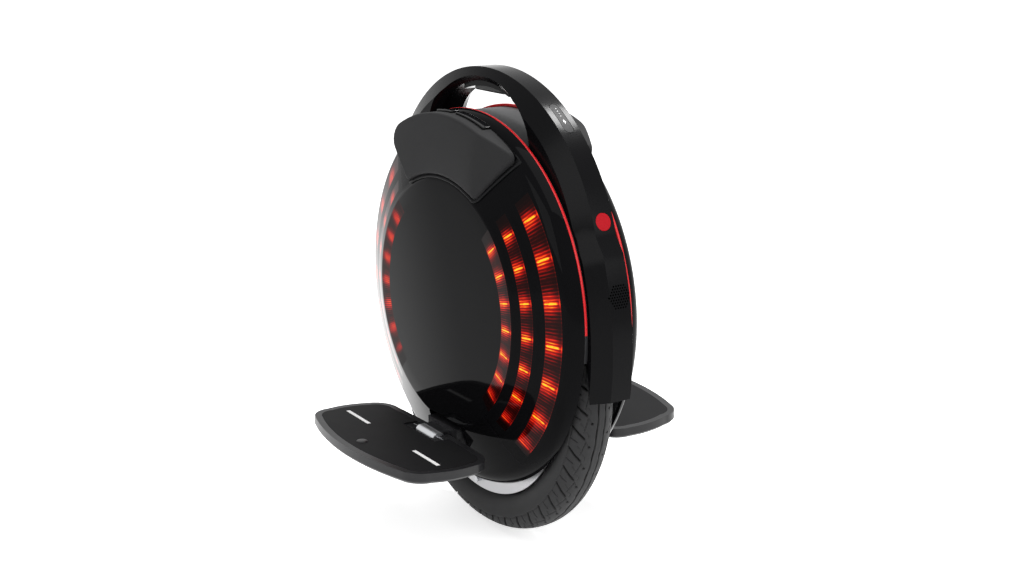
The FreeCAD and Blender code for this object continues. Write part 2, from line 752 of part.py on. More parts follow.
def build_inner_shells():
    """The frame's two halves: side wall, deck and wheel well roof."""
    for side, turn in SIDES.items():
        body = new_body(f"inner_shell_{side}", turn, "panel_centre_z")
        depth = "well_half_width + shell_wall"
        wall = new_sketch(body, "XZ", f"-({depth})")
        draw_circle(wall, ("0", "0"), "deck_radius - shell_wall / 2")
        draw_circle(wall, ("0", "tyre_radius - panel_centre_z"), "axle_window_radius")
        extrude(body, "Pad", wall, "shell_wall")
        deck = new_sketch(body, "YZ")
        draw_box(deck, ("0", "deck_radius - shell_wall"), (depth, "deck_radius"))
        spin(body, "Revolution", deck, "H_Axis", "2 * deck_half_angle")
        roof = new_sketch(body, "XZ", "-(well_half_width + shell_wall / 2)")
        drop = "tyre_radius - panel_centre_z"
        outer = "well_radius + shell_wall"
        sine, cosine = "sin(well_roof_half_angle)", "cos(well_roof_half_angle)"
        draw(roof, (f"-({outer}) * {sine}", f"{drop} + ({outer}) * {cosine}"),
             (f"-well_radius * {sine}", f"{drop} + well_radius * {cosine}"),
             ("0", f"{drop} + well_radius", f"well_radius * {sine}", f"{drop} + well_radius * {cosine}"),
             (f"({outer}) * {sine}", f"{drop} + ({outer}) * {cosine}"),
             ("0", f"{drop} + {outer}", f"-({outer}) * {sine}", f"{drop} + ({outer}) * {cosine}"))
        extrude(body, "Pad", roof, "well_half_width + shell_wall / 2")


# Side panels and their lights


SLOPE = "(panel_face_depth - panel_shoulder_depth) / (panel_shoulder_radius - panel_crease_radius)"


def slope_depth(radius):
    """Depth of the panel's slope at a radius between crease and shoulder."""
    return f"panel_face_depth - ({radius} - panel_crease_radius) * {SLOPE}"


BANDS = (("band_inner_from", "band_inner_to", "panel_face_depth", "panel_face_depth"),
         ("band_middle_from", "band_middle_to",
          slope_depth("band_middle_from"), slope_depth("band_middle_to")),
         ("band_outer_from", "band_outer_to", slope_depth("band_outer_from"), slope_depth("band_outer_to")))


def build_side_panels():
    """The dished covers, slotted for the light bands and open at the pedal hinge."""
    for side, turn in SIDES.items():
        body = new_body(f"side_panel_{side}", turn, "panel_centre_z")
        sketch = new_sketch(body, "XY")
        draw(sketch, ("0", "panel_face_depth"), ("panel_crease_radius", "panel_face_depth"),
             ("panel_shoulder_radius", "panel_shoulder_depth"),
             ("panel_round_radius", "panel_round_depth", "panel_radius", "panel_edge_depth"),
             ("panel_radius - panel_wall + seat_gap", "panel_edge_depth"),
             ("panel_radius - panel_wall + seat_gap", "well_half_width + shell_wall + seat_gap"),
             ("panel_round_radius - panel_wall * panel_round_across",
              "panel_round_depth - panel_wall * panel_round_down",
              "panel_shoulder_radius - panel_wall", "panel_shoulder_depth - panel_wall"),
             ("panel_crease_radius - panel_wall / 2", "panel_face_depth - panel_wall"),
             ("0", "panel_face_depth - panel_wall"))
        spin(body, "Revolution", sketch)
        for way in ("", "-"):
            slots = new_sketch(body, "XY")
            for low, high, _, _ in BANDS:
                draw_box(slots, (f"{way}({low} - band_gap)", "band_back_depth"),
                         (f"{way}({high} + band_gap)", "panel_face_depth + cut_margin"))
            spin(body, "Groove", slots, angle="2 * band_half_angle")
        window = new_sketch(body, "XZ", "-(well_half_width + shell_wall + cut_margin)")
        draw_box(window, ("-hinge_window_half_width", "hinge_window_low - panel_centre_z"),
                 ("hinge_window_half_width", "hinge_window_high - panel_centre_z"))
        extrude(body, "Pocket", window, "panel_face_depth")


def build_lights():
    """The light bands, flush in the panels, and the boards behind them."""
    for side, turn in SIDES.items():
        boards = new_body(f"light_boards_{side}", turn, "panel_centre_z")
        for way, end in (("", "rear" if side == "right" else "front"),
                         ("-", "front" if side == "right" else "rear")):
            guides = new_body(f"light_guides_{side}_{end}", turn, "panel_centre_z")
            sketch = new_sketch(guides, "XY")
            for low, high, low_depth, high_depth in BANDS:
                draw(sketch, (f"{way}({low})", "band_back_depth"), (f"{way}({low})", low_depth),
                     (f"{way}({high})", high_depth), (f"{way}({high})", "band_back_depth"))
            spin(guides, "Revolution", sketch, angle="2 * band_half_angle - band_end_gap")
            plate = new_sketch(boards, "XY")
            draw_box(plate, (f"{way}(band_inner_from - light_board_margin)",
                             "band_back_depth - light_board_wall"),
                     (f"{way}(band_outer_to + light_board_margin)", "band_back_depth"))
            spin(boards, "Revolution", plate, angle="2 * band_half_angle")


def build_trims():
    """The thin red line between each panel and the arch, over the top half."""
    for side, turn in SIDES.items():
        body = new_body(f"red_trim_{side}", turn, "panel_centre_z")
        sketch = new_sketch(body, "YZ")
        draw_box(sketch, ("panel_edge_depth - trim_width", "deck_radius + seat_gap"),
                 ("panel_edge_depth - seat_gap", "deck_radius + seat_gap + trim_height"))
        spin(body, "Revolution", sketch, "H_Axis", "2 * trim_half_angle")


# Knee pads


def turned(radius, angle):
    """The sketch point at a radius and an angle from straight up."""
    return (f"({radius}) * sin({angle})", f"({radius}) * cos({angle})")


def other(point):
    """The same point on the other side of the sketch's upright axis."""
    return (f"-({point[0]})", point[1])


def along(start, end, distance):
    """The point at a distance from one point towards another."""
    run = [f"({there}) - ({here})" for here, there in zip(start, end)]
    length = f"sqrt(({run[0]})^2 + ({run[1]})^2)"
    return tuple(f"({here}) + ({step}) * ({distance}) / {length}" for here, step in zip(start, run))


def bend(before, corner, after):
    """The middle of a round corner between two points that lie as far from the sharp one."""
    return tuple(f"({tip}) + (1 - sqrt(1 / 2)) * (({one}) + ({two}) - 2 * ({tip}))"
                 for one, tip, two in zip(before, corner, after))


def pad_flank(low_radius, top_radius, margin, top_corner):
    """One flared side of the pad's outline with its round corners, from the low edge up, at positive X."""
    degrees = "* 180 / pi"
    low_angle = f"pad_low_angle + {margin} / {low_radius} {degrees}"
    top_angle = f"pad_top_angle + {margin} / ({top_radius}) {degrees}"
    low, top = turned(low_radius, low_angle), turned(top_radius, top_angle)
    low_in = turned(low_radius, f"{low_angle} - pad_corner_radius / {low_radius} {degrees}")
    top_in = turned(top_radius, f"{top_angle} - {top_corner} / ({top_radius}) {degrees}")
    low_out, top_out = along(low, top, "pad_corner_radius"), along(top, low, top_corner)
    return low_in, bend(low_in, low, low_out), low_out, top_out, bend(top_out, top, top_in), top_in


def pad_outline(sketch, low_radius, top_radius, margin):
    """The left pad from the side, front to the right: two arcs, flared sides and round corners."""
    front = pad_flank(low_radius, top_radius, margin, "pad_front_corner_radius")
    rear = [other(point) for point in pad_flank(low_radius, top_radius, margin, "pad_corner_radius")]
    return draw(sketch, rear[0], ("0", low_radius) + front[0], front[1] + front[2], front[3],
                front[4] + front[5], ("0", top_radius) + rear[5], rear[4] + rear[3], rear[2],
                rear[1] + rear[0])


def trim_to_pad(body, low_radius, top_radius, margin):
    """Cut away what lies outside the pad's outline."""
    cut = new_sketch(body, "XZ", "-band_back_depth")
    draw_box(cut, ("-panel_radius", "pad_low_radius / 2"), ("panel_radius", "panel_radius + pad_stock"))
    pad_outline(cut, low_radius, top_radius, margin)
    return extrude(body, "Pocket", cut, "panel_face_depth")


def taper_pad(body):
    """Slope the left pad's face away towards its rear end, as seen from above."""
    slope = "pad_taper_drop / (pad_taper_to - pad_taper_from)"
    above = "pad_low_depth + cut_margin"
    cut = new_sketch(body, "XY")
    draw(cut, (f"-(pad_taper_from - cut_margin / ({slope}))", above),
         ("-panel_radius", f"pad_low_depth - (panel_radius - pad_taper_from) * {slope}"),
         ("-panel_radius", above))
    return extrude(body, "Pocket", cut, "2 * (panel_radius + pad_stock)", both=True)


def mirror_across(piece, label):
    """The other side's copy of a piece, as its mirror image across the wheel's plane."""
    twin = doc.addObject("Part::Mirroring", label)
    twin.Source = piece
    twin.Normal = FreeCAD.Vector(0, 1, 0)
    return keep(twin, label)


def build_knee_pads():
    """The moulded knee pads and the trays that hold them on the panels."""
    sweep = "2 * (pad_top_angle + pad_stock_angle)"
    tray = new_body("pad_tray_left", SIDES["left"], "panel_centre_z")
    section = new_sketch(tray, "YZ")
    low, high = "tray_low_radius - cut_margin", "panel_shoulder_radius"
    draw(section, (f"{slope_depth(low)} + seat_gap", low),
         (f"{slope_depth(low)} + seat_gap + tray_wall", low),
         (f"{slope_depth(high)} + seat_gap + tray_wall", high),
         (f"{slope_depth(high)} + seat_gap", high))
    spin(tray, "Revolution", section, "H_Axis", sweep)
    trim_to_pad(tray, "tray_low_radius", "pad_top_radius + cut_margin", "tray_margin")

    pad = new_body("knee_pad_left", SIDES["left"], "panel_centre_z")
    profile = new_sketch(pad, "YZ")
    base = "2 * seat_gap + tray_wall"
    foot = "pad_low_radius - cut_margin"
    draw(profile, (f"{slope_depth(foot)} + {base}", foot), ("pad_low_depth", foot),
         ("pad_crown_depth", "pad_crown_radius", "pad_top_depth", "pad_top_radius"),
         ("(pad_top_depth + pad_lip_depth) / 2", "pad_top_radius + pad_lip_bulge",
          "pad_lip_depth", "pad_lip_radius"),
         (f"{slope_depth(high)} + {base}", high))
    spin(pad, "Revolution", profile, "H_Axis", sweep)
    trimmed = trim_to_pad(pad, "pad_low_radius", "pad_top_radius + cut_margin", "0")
    round_edges(pad, trimmed, "Fillet", "Radius", "pad_edge_radius", is_pad_rim)
    taper_pad(pad)

    mirror_across(tray, "pad_tray_right")
    mirror_across(pad, "knee_pad_right")


def is_pad_rim(edge):
    """Tell whether an edge of the knee pad borders its crowned face."""
    middle = edge.valueAt((edge.FirstParameter + edge.LastParameter) / 2)
    radius = math.hypot(middle.x, middle.z)
    crown = worth("pad_low_depth") + (radius - worth("pad_low_radius")) * (
        worth("pad_top_depth") - worth("pad_low_depth")) / (worth("pad_top_radius") - worth("pad_low_radius"))
    return middle.y > crown - worth("pad_rim_band")


# Arch with the handle


def arch_z(height):
    """A height as measured from the arch's centre."""
    return f"({height}) - arch_centre_z"


def spine_outline(sketch, bevel, bottom_angle):
    """One end of the arch below its facet, seen from the side, drawn in by a bevel."""
    upper = f"arch_radius - ({bevel})"
    lower = f"spine_arc_radius - ({bevel})"
    middle = f"(spine_top_angle + {bottom_angle}) / 2"
    top_angle = "90 - facet_angle"

    def on_spine(angle):
        return (f"spine_arc_x + ({lower}) * cos({angle})",
                f"spine_arc_z - arch_centre_z + ({lower}) * sin({angle})")

    bottom = on_spine(bottom_angle)
    draw(sketch, ("spine_root_x", bottom[1]), bottom, on_spine(middle) + on_spine("spine_top_angle"),
         (f"({upper}) * cos({top_angle})", f"({upper}) * sin({top_angle})"),
         ("spine_root_x", f"({upper}) * sin({top_angle})"))
    return sketch


def handle_opening(sketch, grow="0", rise="0"):
    """The gap that the fingers go through, down into the deck, wider at its ends and higher at its top."""
    foot = (f"handle_foot_x + {grow}", arch_z("handle_foot_z"))
    sunk = (f"handle_foot_x + {grow}", arch_z("handle_foot_z - handle_sink"))
    side = (f"handle_side_x + {grow}", arch_z(f"handle_side_z + {grow} / 2"))
    shoulder = (f"handle_shoulder_x + {grow} / 2", arch_z(f"handle_shoulder_z + {grow}"))
    return draw(sketch, other(sunk), sunk, foot, side + shoulder,
                ("0", arch_z(f"handle_top_z + {rise}")) + other(shoulder), other(side) + other(foot))


SPEAKER_FRONT = "(spine_arc_x + sqrt(spine_arc_radius ^ 2 - (speaker_z + speaker_radius - spine_arc_z) ^ 2)"
SPEAKER_FRONT += " - speaker_wall)"


def build_handle_arch():
    """The arch: bevelled handle, faceted ends, and the seats for what sits in it."""
    body = new_body("handle_arch", height="arch_centre_z")
    section = new_sketch(body, "YZ")
    shoulder = "arch_radius - arch_bevel"
    root = "arch_radius - arch_root"
    draw(section, ("-arch_face_half_width", "arch_radius"), ("arch_face_half_width", "arch_radius"),
         ("arch_half_width", shoulder), ("arch_half_width", root), ("-arch_half_width", root),
         ("-arch_half_width", shoulder))
    spin(body, "Revolution", section, "H_Axis", "2 * facet_angle")
    sections = []
    for shift, bevel, bottom in (("-arch_half_width", "arch_bevel", "spine_flank_bottom_angle"),
                                 ("-arch_face_half_width", "0", "spine_bottom_angle"),
                                 ("arch_face_half_width", "0", "spine_bottom_angle"),
                                 ("arch_half_width", "arch_bevel", "spine_flank_bottom_angle")):
        sections.append(spine_outline(new_sketch(body, "XZ", shift), bevel, bottom))
    mirror_of(body, [loft(body, sections)], "YZ")

    width = "3 * arch_half_width"
    for centre, radius in (("panel_centre_z", "deck_radius + seat_gap"),
                           ("tyre_radius", "well_radius + seat_gap")):
        cut = new_sketch(body, "XZ")
        draw_circle(cut, ("0", arch_z(centre)), radius)
        extrude(body, "Pocket", cut, width, both=True)
    extrude(body, "Pocket", handle_opening(new_sketch(body, "XZ")), width, both=True)
    for way in ("", "-"):
        rim = handle_opening(new_sketch(body, "XZ", f"{way}(arch_half_width - handle_chamfer_depth)"))
        flared = handle_opening(new_sketch(body, "XZ", f"{way}arch_half_width"), "handle_chamfer",
                                "handle_chamfer_rise")
        loft(body, [rim, flared], "SubtractiveLoft")

    grip = new_sketch(body, "XZ")
    draw(grip, ("-grip_half_length", arch_z("grip_end_z")),
         ("0", arch_z("handle_top_z - grip_drop"), "grip_half_length", arch_z("grip_end_z")),
         ("grip_half_length", arch_z("handle_top_z + cut_margin")),
         ("-grip_half_length", arch_z("handle_top_z + cut_margin")))
    extrude(body, "Pad", grip, "2 * grip_half_width", both=True)
    seat = new_sketch(body, "XY", arch_z("switch_low_z - cut_margin"))
    draw_box(seat, ("-(switch_half_length + switch_gap)", "-(switch_half_width + switch_gap)"),
             ("switch_half_length + switch_gap", "switch_half_width + switch_gap"))
    extrude(body, "Pocket", seat, "switch_height + switch_travel + switch_gap + cut_margin", reverse=True)

    for angle in ("pill_angle", "-pill_angle"):
        pill = draw_pill(arch_sketch(body, angle, "arch_radius + cut_margin"),
                         "pill_half_length + pill_gap", "pill_half_width + pill_gap")
        extrude(body, "Pocket", pill, "cut_margin + pill_height + pill_travel + 2 * pill_gap")
    socket_plane = arch_sketch(body, "-pill_angle", "arch_radius + cut_margin")
    socket = draw_circle(socket_plane, ("0", "0"), "charge_socket_radius")
    extrude(body, "Pocket", socket, "cut_margin + charge_socket_depth")
    for angle, radius in (("lamp_angle", "tail_lamp_radius"), ("-lamp_angle", "head_lamp_radius")):
        lamp_plane = arch_sketch(body, angle, "arch_radius + cut_margin")
        lamp = draw_circle(lamp_plane, ("0", "0"), f"{radius} + seat_gap")
        extrude(body, "Pocket", lamp, "cut_margin + lamp_depth")

    chamber = new_sketch(body, "YZ", SPEAKER_FRONT)
    draw_circle(chamber, ("0", arch_z("speaker_z")), "speaker_radius + seat_gap")
    extrude(body, "Pocket", chamber, f"{SPEAKER_FRONT} - spine_root_x")
    grille = new_sketch(body, "YZ", f"{SPEAKER_FRONT} + grille_reach")
    rings = int(worth("grille_rings"))
    for down in range(-rings, rings + 1):
        across = 2 * rings - abs(down)
        for step in range(across + 1):
            hole = (f"grille_pitch * {step - across / 2}",
                    f"{arch_z('speaker_z')} + grille_pitch * {down} * sqrt(3) / 2")
            draw_circle(grille, hole, "grille_hole_radius")
    extrude(body, "Pocket", grille, "grille_reach + cut_margin")


def build_lift_switch():
    """The bar under the handle that the fingers press up."""
    body = new_body("lift_switch", height="switch_low_z")
    sketch = new_sketch(body, "XY")
    draw_box(sketch, ("-switch_half_length", "-switch_half_width"),
             ("switch_half_length", "switch_half_width"))
    bar = extrude(body, "Pad", sketch, "switch_height")
    round_edges(body, bar, "Fillet", "Radius", "switch_half_width / 3",
                lambda edge: abs(edge.BoundBox.ZMax) < 1e-6 and edge.BoundBox.YLength < 1e-6)


def build_pill(label, angle):
    """A rounded pill whose top follows the arch."""
    body = new_body(label, height="arch_centre_z")
    low = "arch_radius - pill_height"
    extrude(body, "Pad", draw_pill(arch_sketch(body, angle, low), "pill_half_length", "pill_half_width"),
            "pill_height + 2 * cut_margin")
    trim = new_sketch(body, "XZ")
    draw_circle(trim, ("0", "0"), "arch_radius")
    draw_circle(trim, ("0", "0"), "arch_radius + pill_half_length")
    extrude(body, "Pocket", trim, "4 * pill_half_width", both=True)


def build_arch_fittings():
    """Power button, charge cover, charge socket, lamps and speaker."""
    build_pill("power_button", "pill_angle")
    build_pill("charge_cover", "-pill_angle")
    socket = new_body("charge_socket", height="arch_centre_z")
    seat = "arch_radius - pill_height - pill_travel - 2 * pill_gap"
    sketch = draw_circle(arch_sketch(socket, "-pill_angle", seat), ("0", "0"), "charge_socket_radius")
    draw_circle(sketch, ("0", "0"), "charge_bore_radius")
    body_length = "charge_socket_depth - pill_height - pill_travel - 2 * pill_gap"
    extrude(socket, "Pad", sketch, body_length, reverse=True)
    for label, angle, radius in (("tail_lamp", "lamp_angle", "tail_lamp_radius"),
                                 ("head_lamp", "-lamp_angle", "head_lamp_radius")):
        lens = new_body(label, height="arch_centre_z")
        face = draw_circle(arch_sketch(lens, angle, "arch_radius"), ("0", "0"), radius)
        extrude(lens, "Pad", face, "lamp_depth", reverse=True)
    speaker = new_body("speaker", height="speaker_z")
    cone_plane = new_sketch(speaker, "YZ", f"{SPEAKER_FRONT} - speaker_depth")
    cone = draw_circle(cone_plane, ("0", "0"), "speaker_radius")
    extrude(speaker, "Pad", cone, "speaker_depth - seat_gap")


# Hangers and pedals


def build_hangers():
    """The brackets from the axle's ends out to the pedal hinges, and their bolts."""
    back = "well_half_width + shell_wall + seat_gap"
    low, high = "hanger_foot_low_z - tyre_radius", "hanger_foot_high_z - tyre_radius"
    for side, turn in SIDES.items():
        body = new_body(f"pedal_hanger_{side}", turn, "tyre_radius")
        plate = new_sketch(body, "XZ", f"-({back})")
        draw(plate, ("-hanger_half_width", low), ("hanger_half_width", low), ("hanger_half_width", high),
             ("hanger_boss_radius", "0"), ("0", "hanger_boss_radius", "-hanger_boss_radius", "0"),
             ("-hanger_half_width", high))
        extrude(body, "Pad", plate, "hanger_depth", reverse=True)
        foot = new_sketch(body, "XZ", f"-({back})")
        draw_box(foot, ("-hanger_half_width", low), ("hanger_half_width", high))
        extrude(body, "Pad", foot, f"hanger_foot_reach - ({back})", reverse=True)
        lug = new_sketch(body, "YZ")
        hinge = "hinge_z - tyre_radius"
        draw(lug, ("hanger_foot_reach - cut_margin", f"{hinge} - lug_radius"),
             ("hinge_reach", f"{hinge} - lug_radius"),
             ("hinge_reach + lug_radius", hinge, "hinge_reach", f"{hinge} + lug_radius"),
             ("hanger_foot_reach - cut_margin", f"{hinge} + lug_radius"))
        extrude(body, "Pad", lug, "2 * lug_half_width", both=True)
        bore = new_sketch(body, "YZ")
        draw_circle(bore, ("hinge_reach", hinge), "hinge_pin_radius + running_gap / 2")
        extrude(body, "Pocket", bore, "4 * lug_half_width", both=True)
        hole = new_sketch(body, "XZ", "0")
        draw_circle(hole, ("0", "0"), "axle_end_radius + running_gap / 2")
        for way in ("", "-"):
            draw_circle(hole, (f"{way}hanger_bolt_x", "hanger_bolt_z - tyre_radius"),
                        "hanger_bolt_radius + running_gap")
        extrude(body, "Pocket", hole, "hanger_foot_reach * 2")

        pin = new_body(f"pedal_pin_{side}", turn, "hinge_z", reach="hinge_reach")
        rod = draw_circle(new_sketch(pin, "YZ"), ("0", "0"), "hinge_pin_radius")
        extrude(pin, "Pad", rod, "2 * hinge_pin_half_length", both=True)

    bolts = new_body("hanger_bolts", height="hanger_bolt_z")
    face = f"{back} + hanger_depth"
    for way, reverse in (("", False), ("-", True)):
        shank = new_sketch(bolts, "XZ", f"{way}({back})")
        head = new_sketch(bolts, "XZ", f"{way}({face})")
        for end in ("", "-"):
            draw_circle(shank, (f"{end}hanger_bolt_x", "0"), "hanger_bolt_radius")
            draw_circle(head, (f"{end}hanger_bolt_x", "0"), "hanger_bolt_head_radius")
        extrude(bolts, "Pad", shank, "hanger_depth", reverse=reverse)
        extrude(bolts, "Pad", head, "hanger_bolt_head", reverse=reverse)


def pedal_outline(sketch, border):
    """The pedal's leaf shape from above, drawn in by a border."""
    corner = f"pedal_bend_share * ({border})"
    end = f"pedal_end_share * ({border})"
    inner = (f"pedal_heel_x - {end}", f"-pedal_heel_reach + ({border})")
    waist_in = (f"pedal_waist_x - ({border})", f"pedal_waist_in + {end}")
    waist_out = (f"pedal_waist_x - ({border})", f"pedal_waist_out - {end}")
    toe = (f"pedal_toe_x - {end}", f"pedal_toe_reach - ({border})")
    heel_bend = (f"pedal_corner_in - {corner}", f"-pedal_corner_in_reach + {corner}")
    toe_bend = (f"pedal_corner_out - {corner}", f"pedal_corner_out_reach - {corner}")

    draw(sketch, other(inner), ("0", f"-pedal_inner_reach + ({border})") + inner, heel_bend + waist_in,
         (f"pedal_half_length - ({border})", "pedal_side_reach") + waist_out, toe_bend + toe,
         ("0", f"pedal_outer_reach - ({border})") + other(toe), other(toe_bend) + other(waist_out),
         (f"-(pedal_half_length - ({border}))", "pedal_side_reach") + other(waist_in),
         other(heel_bend) + other(inner))
    return sketch


def draw_stripes(sketch, margin):
    """The two straight bars on the mat, widened by a margin."""
    for way in ("", "-"):
        draw_box(sketch, (f"{way}(stripe_from - {margin})", f"stripe_reach - stripe_width / 2 - {margin}"),
                 (f"{way}(stripe_to + {margin})", f"stripe_reach + stripe_width / 2 + {margin}"))
    return sketch


def build_pedals():
    """The two folding pedals: plate, grip mat and the bars let into the left mat."""
    tilt = worth("pedal_tilt")
    mat_floor = "pedal_top - mat_wall"
    for side, turn in SIDES.items():
        plate = new_body(f"pedal_plate_{side}", turn, "hinge_z", tilt, "hinge_reach")
        floor = "pedal_top - pedal_thickness"
        levels = ((floor, "pedal_bevel"), (f"{floor} + pedal_bevel", "0"), ("pedal_top", "0"))
        loft(plate, [pedal_outline(new_sketch(plate, "XY", level), border) for level, border in levels])
        recess = pedal_outline(new_sketch(plate, "XY", "pedal_top"), "mat_border - mat_gap")
        extrude(plate, "Pocket", recess, "mat_wall")
        notch = new_sketch(plate, "XY", "pedal_top + cut_margin")
        draw_box(notch, ("-(lug_half_width + hinge_side_gap)", "-3 * pedal_inner_reach"),
                 ("lug_half_width + hinge_side_gap", "lug_notch_reach"))
        extrude(plate, "Pocket", notch, "pedal_thickness + 2 * cut_margin")
        bore = draw_circle(new_sketch(plate, "YZ"), ("0", "0"), "hinge_pin_radius + running_gap")
        extrude(plate, "Pocket", bore, "2 * hinge_pin_half_length + 2 * hinge_side_gap", both=True)

        mat = new_body(f"pedal_mat_{side}", turn, "hinge_z", tilt, "hinge_reach")
        extrude(mat, "Pad", pedal_outline(new_sketch(mat, "XY", mat_floor), "mat_border"), "mat_wall")
        gap = new_sketch(mat, "XY", "pedal_top + cut_margin")
        notch_half = "hinge_pin_half_length + mat_notch_margin"
        draw_box(gap, (f"-({notch_half})", "-3 * pedal_inner_reach"), (notch_half, "mat_notch_reach"))
        extrude(mat, "Pocket", gap, "2 * mat_wall + cut_margin")
        if side in STRIPED_MATS:
            slots = draw_stripes(new_sketch(mat, "XY", "pedal_top"), "mat_gap / 2")
            extrude(mat, "Pocket", slots, "stripe_wall")

            stripes = new_body(f"pedal_stripes_{side}", turn, "hinge_z", tilt, "hinge_reach")
            bars = draw_stripes(new_sketch(stripes, "XY", "pedal_top - stripe_wall"), "0")
            extrude(stripes, "Pad", bars, "stripe_wall")


# Batteries and electronics


def build_batteries():
    """The battery packs between inner shells and side panels."""
    for side, turn in SIDES.items():
        body = new_body(f"battery_pack_{side}", turn)
        sketch = new_sketch(body, "XZ", "-(well_half_width + shell_wall + seat_gap)")
        draw_box(sketch, ("-battery_half_width", "battery_low_z"), ("battery_half_width", "battery_high_z"))
        block = extrude(body, "Pad", sketch, "battery_depth", reverse=True)
        round_edges(body, block, "Fillet", "Radius", "battery_corner",
                    lambda edge: edge.BoundBox.YLength > worth("battery_depth") / 2)


def build_electronics():
    """The controller and its heat sink, in the bay above the wheel well."""
    sink = new_body("heat_sink", height="tyre_radius + well_radius + shell_wall + seat_gap")
    base = new_sketch(sink, "XY")
    draw_box(base, ("-sink_half_length", "-sink_half_width"), ("sink_half_length", "sink_half_width"))
    extrude(sink, "Pad", base, "sink_height")
    fins = new_sketch(sink, "XY", "sink_height")
    count = int(worth("sink_fin_count"))
    step = "2 * (sink_half_width - sink_fin_width / 2) / (sink_fin_count - 1)"
    for number in range(count):
        low = f"-sink_half_width + {step} * {number}"
        draw_box(fins, ("-sink_half_length", low), ("sink_half_length", f"{low} + sink_fin_width"))
    extrude(sink, "Pad", fins, "sink_fin_height")

    top = "tyre_radius + well_radius + shell_wall + seat_gap + sink_height + sink_fin_height + seat_gap"
    board = new_body("controller_board", height=top)
    sheet_outline = new_sketch(board, "XY")
    draw_box(sheet_outline, ("-board_half_length", "-sink_half_width"),
             ("board_half_length", "sink_half_width"))
    extrude(board, "Pad", sheet_outline, "board_wall")
    cans = new_sketch(board, "XY", "board_wall")
    for end in ("", "-"):
        draw_circle(cans, (f"{end}board_half_length / 2", "0"), "board_part_radius")
    extrude(board, "Pad", cans, "board_part_height")


for build in (build_tyre, build_inner_tube, build_rim, build_motor_covers, build_cover_screws, build_bearings,
              build_magnets, build_valve, build_axle, build_stator, build_axle_nuts, build_inner_shells,
              build_side_panels, build_lights, build_trims, build_knee_pads, build_handle_arch,
              build_lift_switch, build_arch_fittings, build_hangers, build_pedals, build_batteries,
              build_electronics):
    build()
doc.recompute()

failed = [item.Label for item in doc.Objects if {"Invalid", "Error"} & set(item.State)]
if failed:
    raise RuntimeError(f"did not build: {', '.join(failed)}")
for subpart in SUBPARTS:
    if subpart.Shape.isNull() or not subpart.Shape.isValid():
        raise RuntimeError(f"{subpart.Label} has no valid shape")

os.makedirs("parts", exist_ok=True)
for subpart in SUBPARTS:
    subpart.Shape.exportStep(f"parts/{subpart.Label}.step")
    print(f"{subpart.Label}: {len(subpart.Shape.Solids)} solids, {subpart.Shape.Volume / 1000:.1f} cm3")
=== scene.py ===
"""Looks of an electric unicycle: gloss covers with light bands, handle arch, folding pedals, road tyre.

Metres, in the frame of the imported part: the origin is on the ground under the axle, +Z is up, the left
side is at -Y and the rear, with the round red lamp, is at +X. Sizes in the classes are millimetres.
"""
import json
import logging
import math
from dataclasses import dataclass, field
from enum import Enum
from typing import Any, Callable, Iterable, Optional, Sequence

import bmesh
import bpy
import numpy as np
from mathutils import Matrix, Vector


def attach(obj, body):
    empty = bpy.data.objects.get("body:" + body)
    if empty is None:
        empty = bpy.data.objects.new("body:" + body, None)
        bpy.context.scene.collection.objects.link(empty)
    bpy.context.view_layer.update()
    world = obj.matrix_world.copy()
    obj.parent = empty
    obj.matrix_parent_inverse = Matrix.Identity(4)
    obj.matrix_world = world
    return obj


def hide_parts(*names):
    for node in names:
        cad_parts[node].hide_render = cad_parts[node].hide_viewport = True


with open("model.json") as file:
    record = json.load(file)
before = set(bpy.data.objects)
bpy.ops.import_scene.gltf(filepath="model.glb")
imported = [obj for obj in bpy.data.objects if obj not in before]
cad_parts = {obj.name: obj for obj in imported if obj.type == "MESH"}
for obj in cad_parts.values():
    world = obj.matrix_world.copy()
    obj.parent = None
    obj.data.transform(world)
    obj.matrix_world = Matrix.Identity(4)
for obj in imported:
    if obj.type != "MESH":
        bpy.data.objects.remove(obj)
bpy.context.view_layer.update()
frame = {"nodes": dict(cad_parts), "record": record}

LOG = logging.getLogger("electric_unicycle")
MM = 0.001
WELD_GAP = 0.002
FLAT_DEGREES = 0.4

Triple = tuple[float, float, float]
Colour = Triple
Point = tuple[float, float]
Faces = list[tuple[int, ...]]
Piece = bpy.types.Object
Node = bpy.types.Node
Socket = bpy.types.NodeSocket


class Labelled(Enum):
    """A choice whose name is part of node names."""

    @property
    def label(self) -> str:
        """The name as the nodes carry it."""
        return self.name.lower()


class Side(Labelled):
    """The two sides of the machine, by the sign of Y."""

    LEFT = -1
    RIGHT = 1


class End(Labelled):
    """The two ends of the machine, by the sign of X."""

    FRONT = -1
    REAR = 1


class Relief(Enum):
    """What the small relief of a finish looks like."""

    GRAIN = "grain"
    BRUSHED = "brushed"
    PIMPLED = "pimpled"
    RINGS = "rings"


# Materials


